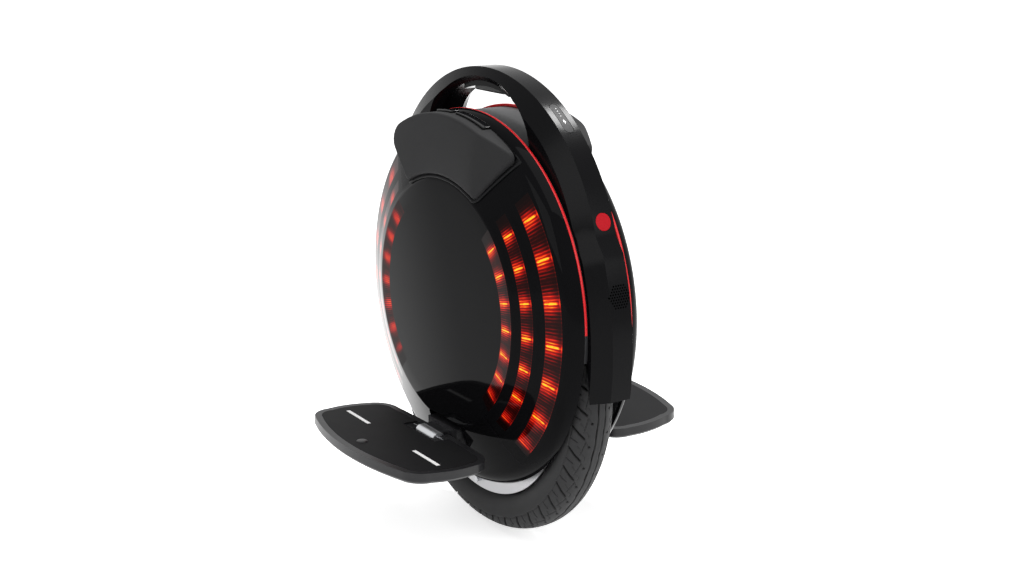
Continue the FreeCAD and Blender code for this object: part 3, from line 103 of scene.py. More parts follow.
class Tree:
    """A material's or a group's node tree, filled by short calls."""

    def __init__(self, tree: bpy.types.NodeTree) -> None:
        """Take over a tree and empty it."""
        self.tree = tree
        tree.nodes.clear()

    def add(self, kind: str, inputs: Optional[dict[Any, Any]] = None,
            **settings: Any) -> Node:
        """Add a node and fill its inputs with values or links.

        Args:
            kind: the node's type without the ShaderNode prefix, or a full type name.
            inputs: socket name or index to a value, or to an output socket to link.
            **settings: properties of the node itself.

        Returns:
            The new node.
        """
        node = self.tree.nodes.new(kind if kind.startswith("Node") else f"ShaderNode{kind}")
        for name, value in settings.items():
            setattr(node, name, value)
        for name, value in (inputs or {}).items():
            if isinstance(value, Socket):
                self.tree.links.new(value, node.inputs[name])
            else:
                node.inputs[name].default_value = value
        return node

    def math(self, operation: str, *values: Any) -> Socket:
        """Add a Math node and give its output."""
        return self.add("Math", dict(enumerate(values)), operation=operation).outputs[0]

    def mul(self, first: Any, second: Any) -> Socket:
        """The product of two values or outputs."""
        return self.math("MULTIPLY", first, second)

    def plus(self, first: Any, second: Any) -> Socket:
        """The sum of two values or outputs."""
        return self.math("ADD", first, second)

    def place(self) -> Socket:
        """The place on the object, in its own coordinates."""
        return self.add("TexCoord").outputs["Object"]

    def link(self, output: Socket, node: Node, name: str) -> None:
        """Link an output to an input of a node."""
        self.tree.links.new(output, node.inputs[name])

    def blend(self, mask: Any, colour: Any, over: Colour) -> Socket:
        """Lay a fixed colour over a colour output where a mask is 1."""
        return self.add("Mix", {"Factor": mask, 6: colour, 7: (*over, 1.0)}, data_type="RGBA").outputs[2]

    def ramp(self, value: Any, stops: Sequence[tuple[float, Colour]]) -> Socket:
        """Add a colour ramp.

        Args:
            value: the output socket to read.
            stops: places from 0 to 1 with their colours.

        Returns:
            The ramp's colour output.
        """
        node = self.add("ValToRGB", {"Fac": value})
        points = node.color_ramp.elements
        while len(points) < len(stops):
            points.new(1.0)
        for point, (place, colour) in zip(points, stops):
            point.position = place
            point.color = (*colour, 1.0)
        return node.outputs["Color"]

    def between(self, value: Any, low: float, high: float) -> Socket:
        """Rise smoothly from 0 at low to 1 at high; low may be above high.

        Args:
            value: the output socket to read.
            low: the value that gives 0.
            high: the value that gives 1.

        Returns:
            The output of the range node.
        """
        flip = low > high
        source = {"Value": value, "From Min": min(low, high), "From Max": max(low, high)}
        goal = {"To Min": float(flip), "To Max": float(not flip)}
        return self.add("MapRange", {**source, **goal}, interpolation_type="SMOOTHSTEP").outputs[0]


def new_group(name: str, inputs: dict[str, str], outputs: dict[str, str]) -> tuple[Tree, Any, Any]:
    """Start a shader node group.

    Args:
        name: the group's name.
        inputs: input names to socket kinds, such as Float, Color or Vector.
        outputs: output names to socket kinds.

    Returns:
        The group's tree, its input node and its output node.
    """
    group = bpy.data.node_groups.new(name, "ShaderNodeTree")
    for way, sockets in (("INPUT", inputs), ("OUTPUT", outputs)):
        for label, kind in sockets.items():
            group.interface.new_socket(label, in_out=way, socket_type=f"NodeSocket{kind}")
    tree = Tree(group)
    return tree, tree.add("NodeGroupInput"), tree.add("NodeGroupOutput")


def surface_grain() -> bpy.types.NodeTree:
    """Fine grain with slow clouds in it, which break up a surface's colour, gloss and height.

    Returns:
        The group, built at the first call.
    """
    name = "surface_grain"
    if name in bpy.data.node_groups:
        return bpy.data.node_groups[name]
    numbers = dict.fromkeys(("Roughness", "Grain", "Clouds", "Mottle"), "Float")
    results = {"Colour": "Color", "Roughness": "Float", "Height": "Float"}
    tree, given, out = new_group(name, {"Colour": "Color", **numbers}, results)
    place = tree.place()
    grain, clouds = given.outputs["Grain"], given.outputs["Clouds"]
    fine = tree.add("TexNoise", {"Vector": place, "Scale": grain, "Detail": 3.0, "Roughness": 0.6})
    slow = tree.add("TexNoise", {"Vector": place, "Scale": clouds, "Detail": 4.0, "Roughness": 0.55})
    blend = tree.plus(tree.mul(fine.outputs["Fac"], 0.4), tree.mul(slow.outputs["Fac"], 0.6))
    swing = tree.mul(tree.math("SUBTRACT", blend, 0.5), tree.mul(given.outputs["Mottle"], 2.0))
    share = tree.plus(1.0, swing)
    toned = tree.add("VectorMath", {0: given.outputs["Colour"], "Scale": share}, operation="SCALE")
    tree.link(toned.outputs[0], out, "Colour")
    tree.link(tree.mul(given.outputs["Roughness"], share), out, "Roughness")
    tree.link(fine.outputs["Fac"], out, "Height")
    return tree.tree


def edge_wear() -> bpy.types.NodeTree:
    """Mask of the outer edges, where handling has rubbed a finish, broken up by noise.

    Returns:
        The group, built at the first call.
    """
    name = "edge_wear"
    if name in bpy.data.node_groups:
        return bpy.data.node_groups[name]
    tree, given, out = new_group(name, {"Amount": "Float", "Breakup": "Float"}, {"Mask": "Float"})
    outer = tree.between(tree.add("NewGeometry").outputs["Pointiness"], 0.51, 0.60)
    place = tree.place()
    rub = tree.add("TexNoise", {"Vector": place, "Scale": given.outputs["Breakup"], "Detail": 5.0})
    broken = tree.mul(outer, tree.between(rub.outputs["Fac"], 0.35, 0.65))
    tree.link(tree.mul(broken, given.outputs["Amount"]), out, "Mask")
    return tree.tree


@dataclass(frozen=True)
class Finish:
    """A moulded, painted, rubber or metal surface."""

    name: str
    colour: Colour
    roughness: float
    metallic: float = 0.0
    specular: float = 0.5
    coat: float = 0.0
    coat_roughness: float = 0.04
    grain: float = 900.0
    clouds: float = 25.0
    mottle: float = 0.12
    relief: Relief = Relief.GRAIN
    depth: float = 0.02
    bump_strength: float = 0.4
    wear: float = 0.0
    wear_breakup: float = 180.0
    worn_colour: Colour = (0.12, 0.12, 0.125)

    def height(self, tree: Tree, grain: Any) -> Any:
        """The height that feeds the bump.

        Args:
            tree: the material's tree.
            grain: the grain group's height output.

        Returns:
            The output socket with the height.
        """
        place = tree.place()
        if self.relief is Relief.BRUSHED:
            stretched = tree.add("Mapping", {"Vector": place, "Scale": (0.05, 1.0, 1.0)}).outputs[0]
            noise = tree.add("TexNoise", {"Vector": stretched, "Scale": self.grain, "Detail": 2.0})
            return noise.outputs["Fac"]
        if self.relief is Relief.PIMPLED:
            cells = tree.add("TexVoronoi", {"Vector": place, "Scale": self.grain}, feature="SMOOTH_F1")
            return tree.between(cells.outputs["Distance"], 0.6, 0.1)
        if self.relief is Relief.RINGS:
            waves = {"wave_type": "RINGS", "rings_direction": "Y"}
            return tree.add("TexWave", {"Vector": place, "Scale": self.grain}, **waves).outputs["Fac"]
        return grain

    def extras(self, tree: Tree, shader: Node) -> None:
        """Place for what a special finish adds to the shader."""

    def material(self) -> bpy.types.Material:
        """Build the material once.

        Returns:
            The material of this finish.
        """
        if self.name in bpy.data.materials:
            return bpy.data.materials[self.name]
        material = bpy.data.materials.new(self.name)
        material.use_nodes = True
        tree = Tree(material.node_tree)
        out = tree.add("OutputMaterial")
        grain = tree.add("Group", {
            "Colour": (*self.colour, 1.0), "Roughness": self.roughness, "Grain": self.grain,
            "Clouds": self.clouds, "Mottle": self.mottle}, node_tree=surface_grain())
        colour = grain.outputs["Colour"]
        if self.wear:
            amounts = {"Amount": self.wear, "Breakup": self.wear_breakup}
            rubbed = tree.add("Group", amounts, node_tree=edge_wear())
            colour = tree.blend(rubbed.outputs["Mask"], colour, self.worn_colour)
        shader = tree.add("BsdfPrincipled", {
            "Base Color": colour, "Roughness": grain.outputs["Roughness"], "Metallic": self.metallic,
            "Specular IOR Level": self.specular, "Coat Weight": self.coat,
            "Coat Roughness": self.coat_roughness})
        if self.depth:
            height = self.height(tree, grain.outputs["Height"])
            relief = {"Height": height, "Strength": self.bump_strength, "Distance": self.depth * MM}
            tree.link(tree.add("Bump", relief).outputs[0], shader, "Normal")
        self.extras(tree, shader)
        tree.link(shader.outputs[0], out, "Surface")
        return material


@dataclass(frozen=True)
class GlowFinish(Finish):
    """Light band: lamps behind a ribbed red lens, seen as yellow streaks that fade to red and to black.

    The band's map runs from one lamp to the next along U and across the band along V.
    """

    ribs: float = 12.0
    first: float = -0.50
    last: float = 6.24
    full: Point = (0.05, 5.72)
    level: float = 1.0
    flash: float = 0.62
    edge_light: float = 0.08
    shimmer_scale: Triple = (34.0, 1.4, 1.0)
    stops: tuple[tuple[float, Colour], ...] = (
        (0.0, (0.0, 0.0, 0.0)), (0.10, (0.030, 0.0006, 0.0004)), (0.30, (0.36, 0.004, 0.002)),
        (0.52, (0.95, 0.020, 0.006)), (0.76, (1.0, 0.14, 0.008)), (1.0, (1.0, 0.74, 0.03)),
    )

    def extras(self, tree: Tree, shader: Node) -> None:
        """Add the light of the lamps.

        Args:
            tree: the material's tree.
            shader: its Principled shader.
        """
        plane = tree.add("UVMap", uv_map="lamps").outputs[0]
        parts = tree.add("SeparateXYZ", {0: plane})
        along, across = parts.outputs[0], parts.outputs[1]
        fine = tree.add("Mapping", {"Vector": plane, "Scale": self.shimmer_scale}).outputs[0]
        noise = {"Vector": fine, "Scale": 1.0, "Detail": 3.0, "Roughness": 0.6}
        shimmer = tree.add("TexNoise", noise).outputs["Fac"]
        rib = tree.math("COSINE", tree.mul(along, 2.0 * math.pi * self.ribs))
        ribbed = tree.mul(tree.between(rib, -0.3, 0.9), tree.between(shimmer, 0.30, 0.60))
        gap = tree.math("ABSOLUTE", tree.math("SUBTRACT", along, tree.math("ROUND", along)))

        def cluster(reach: Point, even: float, striped: float) -> Socket:
            """Light that fades away from a lamp, partly striped by the ribs."""
            return tree.mul(tree.between(gap, *reach), tree.plus(even, tree.mul(ribbed, striped)))

        comb, faint = cluster((0.30, 0.02), 0.26, 0.34), cluster((0.75, 0.10), 0.10, 0.24)
        inside = tree.mul(tree.between(across, 0.0, 0.06), tree.between(across, 1.0, 0.35))
        glow = tree.mul(tree.plus(comb, faint), tree.plus(0.42, tree.mul(inside, 0.62)))
        streak = tree.mul(tree.between(gap, 0.052, 0.014), tree.between(shimmer, 0.36, 0.50))
        lit = tree.mul(tree.between(across, 0.02, 0.14), tree.between(across, 0.92, 0.74))
        glow = tree.plus(glow, tree.mul(tree.mul(streak, lit), self.flash))
        spot = tree.mul(tree.between(gap, 0.09, 0.03), tree.between(across, 0.88, 0.96))
        glow = tree.plus(glow, tree.mul(spot, 0.5 * self.flash))
        edge = tree.math("MAXIMUM", tree.between(across, 0.06, 0.02), tree.between(across, 0.94, 0.98))
        glow = tree.plus(glow, tree.mul(edge, self.edge_light))
        start, stop = self.full
        ends = tree.mul(tree.between(along, self.first, start), tree.between(along, self.last, stop))
        glow = tree.mul(glow, tree.mul(ends, self.level))
        tree.link(tree.ramp(glow, self.stops), shader, "Emission Color")
        shader.inputs["Emission Strength"].default_value = 1.0


@dataclass(frozen=True)
class LimbGloss(Finish):
    """Dark surface that mirrors its surroundings at a glance, on a dished cover most at its rim."""

    glance: Point = (0.82, 1.0)
    limb: float = 1.0
    dish: Optional[Triple] = None
    face_edge: Point = (142.0, 133.0)
    face_glance: Point = (0.495, 0.56)
    face_gloss: float = 0.30

    def extras(self, tree: Tree, shader: Node) -> None:
        """Let the clear coat grow towards the limb, and on a dished cover's flat face with the glance.

        Args:
            tree: the material's tree.
            shader: its Principled shader.
        """
        facing = tree.add("LayerWeight", {"Blend": 0.5}).outputs["Facing"]
        weight = tree.mul(tree.between(facing, *self.glance), self.limb)
        if self.dish:
            centre, inner, outer = (MM * part for part in self.dish)
            place = tree.place()
            spot = tree.add("VectorMath", {0: place, 1: (0.0, 0.0, centre)}, operation="SUBTRACT")
            flat = tree.add("VectorMath", {0: spot.outputs[0], 1: (1.0, 0.0, 1.0)}, operation="MULTIPLY")
            reach = tree.add("VectorMath", {0: flat.outputs[0]}, operation="LENGTH").outputs["Value"]
            weight = tree.mul(weight, tree.between(reach, inner, outer))
            veil = tree.mul(tree.between(facing, *self.face_glance), self.face_gloss)
            flat_face = tree.between(reach, *(MM * part for part in self.face_edge))
            weight = tree.plus(weight, tree.mul(veil, flat_face))
        tree.link(weight, shader, "Coat Weight")


@dataclass(frozen=True)
class LensFinish(Finish):
    """Coloured lamp lens with a faint light of its own, ringed inside."""

    light: Colour = (0.50, 0.006, 0.012)
    light_strength: float = 0.6
    dim: float = 0.55
    ring_scale: float = 120.0

    def extras(self, tree: Tree, shader: Node) -> None:
        """Add the faint ringed light.

        Args:
            tree: the material's tree.
            shader: its Principled shader.
        """
        place = tree.place()
        spots = tree.add("TexVoronoi", {"Vector": place, "Scale": self.ring_scale}, feature="SMOOTH_F1")
        dark = tuple(self.dim * part for part in self.light)
        colour = tree.ramp(spots.outputs["Distance"], ((0.1, self.light), (0.7, dark)))
        tree.link(colour, shader, "Emission Color")
        shader.inputs["Emission Strength"].default_value = self.light_strength


@dataclass(frozen=True)
class TreadFinish(Finish):
    """Rubber whose groove floors carry painted shade, darkened towards near black."""

    # painted shade: the near-black colour laid into the deep parts of the grooves
    painted_groove_shade: Colour = (0.0012, 0.0012, 0.0013)
    sunk: Point = (0.05, 0.45)

    def extras(self, tree: Tree, shader: Node) -> None:
        """Paint shade onto the floors of the grooves.

        Args:
            tree: the material's tree.
            shader: its Principled shader.
        """
        groove = tree.add("Attribute", attribute_name="groove").outputs["Fac"]
        rubber = shader.inputs["Base Color"].links[0].from_socket
        # painted shade: the rubber's colour is mixed towards near black by the groove depth attribute
        tree.link(tree.blend(tree.between(groove, *self.sunk), rubber, self.painted_groove_shade), shader, "Base Color")


@dataclass(frozen=True)
class HingeFinish(Finish):
    """Painted bracket whose hinge knuckle is bare metal."""

    axis_y: float = 88.0
    axis_z: float = 120.0
    knuckle: Point = (9.0, 8.4)
    metal: Colour = (0.62, 0.63, 0.65)

    def extras(self, tree: Tree, shader: Node) -> None:
        """Bare the metal round the hinge axis.

        Args:
            tree: the material's tree.
            shader: its Principled shader.
        """
        parts = tree.add("SeparateXYZ", {0: tree.place()})
        out = tree.math("SUBTRACT", tree.math("ABSOLUTE", parts.outputs[1]), self.axis_y * MM)
        up = tree.math("SUBTRACT", parts.outputs[2], self.axis_z * MM)
        squares = (tree.math("POWER", part, 2.0) for part in (out, up))
        reach = tree.math("SQRT", tree.plus(*squares))
        bare = tree.between(reach, *(MM * part for part in self.knuckle))
        paint = shader.inputs["Base Color"].links[0].from_socket
        tree.link(tree.blend(bare, paint, self.metal), shader, "Base Color")
        tree.link(bare, shader, "Metallic")


FINISHES: dict[str, Finish] = {
    "arch_black": LimbGloss(
        "arch_satin_black", (0.0026, 0.0026, 0.0030), 0.21, specular=0.055, grain=1600.0, depth=0.006,
        glance=(0.80, 1.0), coat_roughness=0.22),
    "panel_gloss": LimbGloss(
        "panel_piano_black", (0.0030, 0.0030, 0.0034), 0.05, specular=0.026, grain=300.0, depth=0.0,
        limb=0.35, dish=(270.0, 165.0, 205.0)),
    "shell_grey": Finish("shell_moulded_grey", (0.020, 0.020, 0.022), 0.45, specular=0.3, grain=1100.0),
    "light_red": GlowFinish(
        "light_band_red", (0.004, 0.001, 0.001), 0.06, specular=0.06, depth=0.0),
    "trim_red": Finish("trim_line_red", (0.52, 0.008, 0.012), 0.32, specular=0.3, depth=0.004),
    "tray_black": Finish(
        "tray_moulded_black", (0.0045, 0.0045, 0.005), 0.48, specular=0.10, grain=1400.0, depth=0.006),
    "pad_charcoal": Finish(
        "pad_soft_charcoal", (0.0108, 0.0108, 0.0114), 0.70, specular=0.18, grain=1500.0, depth=0.04),
    "tyre_black": TreadFinish(
        "tyre_rubber", (0.0115, 0.0115, 0.0122), 0.60, specular=0.24, grain=700.0, depth=0.04, mottle=0.2),
    "tube_black": Finish("tube_rubber", (0.018, 0.018, 0.019), 0.65, grain=700.0, wear=0.15),
    "rim_alloy": Finish(
        "rim_satin_alloy", (0.50, 0.50, 0.51), 0.45, metallic=1.0, relief=Relief.BRUSHED, depth=0.01),
    "hanger_alloy": HingeFinish(
        "hanger_black_alloy", (0.007, 0.007, 0.008), 0.36, specular=0.2, wear=0.05,
        worn_colour=(0.3, 0.3, 0.31)),
    "steel": Finish(
        "bright_steel", (0.55, 0.56, 0.58), 0.26, metallic=1.0, relief=Relief.BRUSHED, grain=700.0,
        depth=0.01),
    "core_steel": Finish(
        "stacked_core_steel", (0.30, 0.30, 0.31), 0.45, metallic=1.0, relief=Relief.RINGS, grain=300.0,
        depth=0.05, wear=0.15),
    "magnet_plate": Finish("magnet_nickel", (0.48, 0.47, 0.45), 0.22, metallic=1.0, depth=0.01, wear=0.15),
    "copper": Finish(
        "winding_copper", (0.55, 0.20, 0.07), 0.32, metallic=1.0, relief=Relief.RINGS, grain=200.0,
        depth=0.15, wear=0.15),
    "pedal_dark": Finish(
        "pedal_dark_alloy", (0.010, 0.010, 0.011), 0.35, specular=0.25, grain=1200.0, wear=0.05,
        worn_colour=(0.2, 0.2, 0.2)),
    "mat_black": Finish(
        "mat_rubber_black", (0.0045, 0.0045, 0.005), 0.62, specular=0.12, grain=1300.0, depth=0.03),
    "stripe_white": Finish("stripe_white_ink", (0.80, 0.80, 0.80), 0.5, mottle=0.05),
    "battery_wrap": Finish("battery_wrap_blue", (0.02, 0.09, 0.22), 0.35, coat=0.3),
    "board_green": Finish(
        "board_lacquer_green", (0.01, 0.09, 0.04), 0.4, relief=Relief.PIMPLED, grain=260.0, depth=0.08),
    "button_grey": Finish(
        "button_dark_grey", (0.006, 0.006, 0.0066), 0.38, specular=0.08, grain=1500.0, depth=0.006),
    "switch_black": Finish(
        "switch_moulded_black", (0.006, 0.006, 0.0065), 0.30, specular=0.25, grain=1500.0, depth=0.006,
        wear=0.05),
    "lens_red": LensFinish(
        "lamp_lens_red", (0.31, 0.004, 0.009), 0.30, specular=0.06, depth=0.0, light=(0.06, 0.0006, 0.0015)),
    "lens_clear": LensFinish(
        "lamp_lens_clear", (0.55, 0.56, 0.58), 0.14, coat=0.6, depth=0.0, light=(0.18, 0.18, 0.2)),
}
FRONT_GLOW = GlowFinish(
    "light_band_front", (0.004, 0.001, 0.001), 0.06, specular=0.06, depth=0.0, first=-2.0, level=0.78,
    flash=0.0)
GLOSS_BAR = Finish("clip_gloss_black", (0.004, 0.004, 0.0045), 0.10, specular=0.16, depth=0.0)
SIGN_WHITE = Finish("sign_white_ink", (0.80, 0.80, 0.80), 0.5, mottle=0.05)


# Mesh making


def new_object(name: str, data: Any) -> Piece:
    """Put a mesh, lamp or camera into the scene as an object."""
    obj = bpy.data.objects.new(name, data)
    bpy.context.scene.collection.objects.link(obj)
    return obj


def new_piece(name: str, points: Iterable[Sequence[float]], faces: Faces) -> Piece:
    """Make a mesh object from points in millimetres.

    Args:
        name: the piece's name.
        points: its points.
        faces: its faces, as rows of point numbers.

    Returns:
        The object, linked to the scene.
    """
    mesh = bpy.data.meshes.new(name)
    mesh.from_pydata([tuple(MM * float(part) for part in point) for point in points], [], faces)
    mesh.validate()
    return new_object(name, mesh)


def grid_faces(rows: int, columns: int, closed_rows: bool = False, closed_columns: bool = False) -> Faces:
    """Faces of a grid of points.

    Args:
        rows: the number of rows.
        columns: the number of points in a row.
        closed_rows: whether the last row joins the first.
        closed_columns: whether a row is a ring.

    Returns:
        The faces, four points each.
    """
    faces: Faces = []
    for row in range(rows if closed_rows else rows - 1):
        after = (row + 1) % rows
        for column in range(columns if closed_columns else columns - 1):
            beside = (column + 1) % columns
            here, there = row * columns, after * columns
            faces.append((here + column, here + beside, there + beside, there + column))
    return faces


def tube_faces(rows: int, count: int, base: int = 0) -> Faces:
    """Faces of a tube of rings with a cap at each end.

    Args:
        rows: the number of rings.
        count: the number of points in a ring.
        base: the number of the first point.

    Returns:
        The faces, four points each, and the two caps.
    """
    faces = [tuple(base + n for n in face) for face in grid_faces(rows, count, closed_columns=True)]
    last = base + rows * count
    return faces + [tuple(reversed(range(base, base + count))), tuple(range(last - count, last))]


def ring_angles(count: int) -> np.ndarray:
    """Equal angles round a ring."""
    return np.linspace(0.0, 2.0 * math.pi, count + 1)[:-1]


def turned(face: tuple[int, ...], flip: bool) -> tuple[int, ...]:
    """A face, with its winding reversed where flip is set."""
    return tuple(reversed(face)) if flip else face


def arc_through(start: Point, middle: Point, end: Point, count: int) -> list[Point]:
    """Points on the arc through three points.

    Args:
        start: the first point.
        middle: a point on the arc.
        end: the last point.
        count: the number of points.

    Returns:
        The points, from start to end.
    """
    (ax, ay), (bx, by), (cx, cy) = start, middle, end
    twice = 2.0 * (ax * (by - cy) + bx * (cy - ay) + cx * (ay - by))
    a, b, c = ax * ax + ay * ay, bx * bx + by * by, cx * cx + cy * cy
    ox = (a * (by - cy) + b * (cy - ay) + c * (ay - by)) / twice
    oy = (a * (cx - bx) + b * (ax - cx) + c * (bx - ax)) / twice
    radius = math.hypot(ax - ox, ay - oy)
    angles = [math.atan2(y - oy, x - ox) for x, y in (start, middle, end)]
    first = (angles[1] - angles[0] + math.pi) % (2.0 * math.pi) - math.pi
    second = (angles[2] - angles[1] + math.pi) % (2.0 * math.pi) - math.pi
    steps = np.linspace(0.0, first + second, count)
    return [(ox + radius * math.cos(angles[0] + s), oy + radius * math.sin(angles[0] + s)) for s in steps]


def modify(obj: Piece, kind: str, **settings: Any) -> None:
    """Work a modifier into a piece's mesh.

    Args:
        obj: the piece.
        kind: the modifier's type.
        **settings: the modifier's properties.
    """
    maker = obj.modifiers.new(kind.lower(), kind)
    for name, value in settings.items():
        setattr(maker, name, value)
    bpy.context.view_layer.update()
    graph = bpy.context.evaluated_depsgraph_get()
    mesh = bpy.data.meshes.new_from_object(obj.evaluated_get(graph))
    obj.modifiers.clear()
    obj.data = mesh
    mesh.name = obj.name


def smooth(obj: Piece, degrees: float = 30.0) -> None:
    """Shade a piece smoothly, apart from edges sharper than an angle in degrees."""
    obj.data.shade_smooth()
    obj.data.set_sharp_from_angle(angle=math.radians(degrees))


def bevel(obj: Piece, width: float, degrees: float = 28.0, segments: int = 2) -> None:
    """Round a piece's sharp edges.

    Args:
        obj: the piece.
        width: the round's width in millimetres.
        degrees: the edge angle from which edges are rounded.
        segments: the steps of the round.
    """
    limit = {"limit_method": "ANGLE", "angle_limit": math.radians(degrees), "use_clamp_overlap": True}
    modify(obj, "BEVEL", width=width * MM, segments=segments, harden_normals=False, **limit)


def solid_copy(node: str, name: str) -> Piece:
    """Copy a CAD node's mesh as a welded piece that can be worked on.

    Args:
        node: the CAD node.
        name: the new piece's name.

    Returns:
        The new piece.
    """
    mesh = frame["nodes"][node].data.copy()
    if "custom_normal" in mesh.attributes:
        mesh.attributes.remove(mesh.attributes["custom_normal"])
    work = bmesh.new()
    work.from_mesh(mesh)
    bmesh.ops.remove_doubles(work, verts=work.verts, dist=WELD_GAP * MM)
    flat = math.radians(FLAT_DEGREES)
    bmesh.ops.dissolve_limit(work, angle_limit=flat, verts=work.verts, edges=work.edges)
    work.to_mesh(mesh)
    work.free()
    return new_object(name, mesh)


def dress(obj: Piece, slot: str, body: str, nodes: Sequence[str] = (),
          finish: Optional[Finish] = None) -> None:
    """Give a piece the finish of its slot, hang it on the body that it rides on and hide the nodes that it
    stands for.

    Args:
        obj: the piece.
        slot: the record's material slot.
        body: the CAD body that carries it.
        nodes: CAD nodes that it replaces.
        finish: its finish, where that isn't the slot's own.
    """
    obj.data.materials.clear()
    obj.data.materials.append((finish or FINISHES[slot]).material())
    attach(obj, body)
    if nodes:
        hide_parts(*nodes)
    LOG.info("built %s on %s", obj.name, body)


def sweep(name: str, section: Sequence[Point], rail: Callable[[float], Matrix],
          places: Sequence[float]) -> Piece:
    """Sweep a closed section along a rail and cap its ends.

    Args:
        name: the piece's name.
        section: points of the section, in the rail's first two axes.
        rail: gives the section's frame at a place.
        places: the places along the rail.

    Returns:
        The new piece.
    """
    points = [rail(place) @ Vector((a, b, 0.0)) for place in places for a, b in section]
    return new_piece(name, points, tube_faces(len(places), len(section)))


def round_box(half_a: float, half_b: float, radius: float, steps: int = 4) -> list[Point]:
    """Outline of a rectangle with round corners.

    Args:
        half_a: half its first side.
        half_b: half its second side.
        radius: the corner radius.
        steps: the steps in a corner.

    Returns:
        The outline's points.
    """
    outline: list[Point] = []
    for corner, (a, b) in enumerate(((1, 1), (-1, 1), (-1, -1), (1, -1))):
        for step in range(steps + 1):
            angle = math.pi / 2.0 * (corner + step / steps)
            middle_a, middle_b = a * (half_a - radius), b * (half_b - radius)
            outline.append((middle_a + radius * math.cos(angle), middle_b + radius * math.sin(angle)))
    return outline


def frame_of(first: Vector, second: Vector, third: Vector, origin: Vector) -> Matrix:
    """A frame from three axes and an origin.

    Args:
        first: the first axis.
        second: the second axis.
        third: the third axis.
        origin: the origin.

    Returns:
        The frame's matrix.
    """
    matrix = Matrix.Identity(4)
    for column, axis in enumerate((first, second, third, origin)):
        for row in range(3):
            matrix[row][column] = axis[row]
    return matrix


def fix_normals(obj: Piece) -> None:
    """Turn a closed piece's faces outward.

    Args:
        obj: the piece.
    """
    work = bmesh.new()
    work.from_mesh(obj.data)
    bmesh.ops.recalc_face_normals(work, faces=work.faces)
    work.to_mesh(obj.data)
    work.free()


# The machine


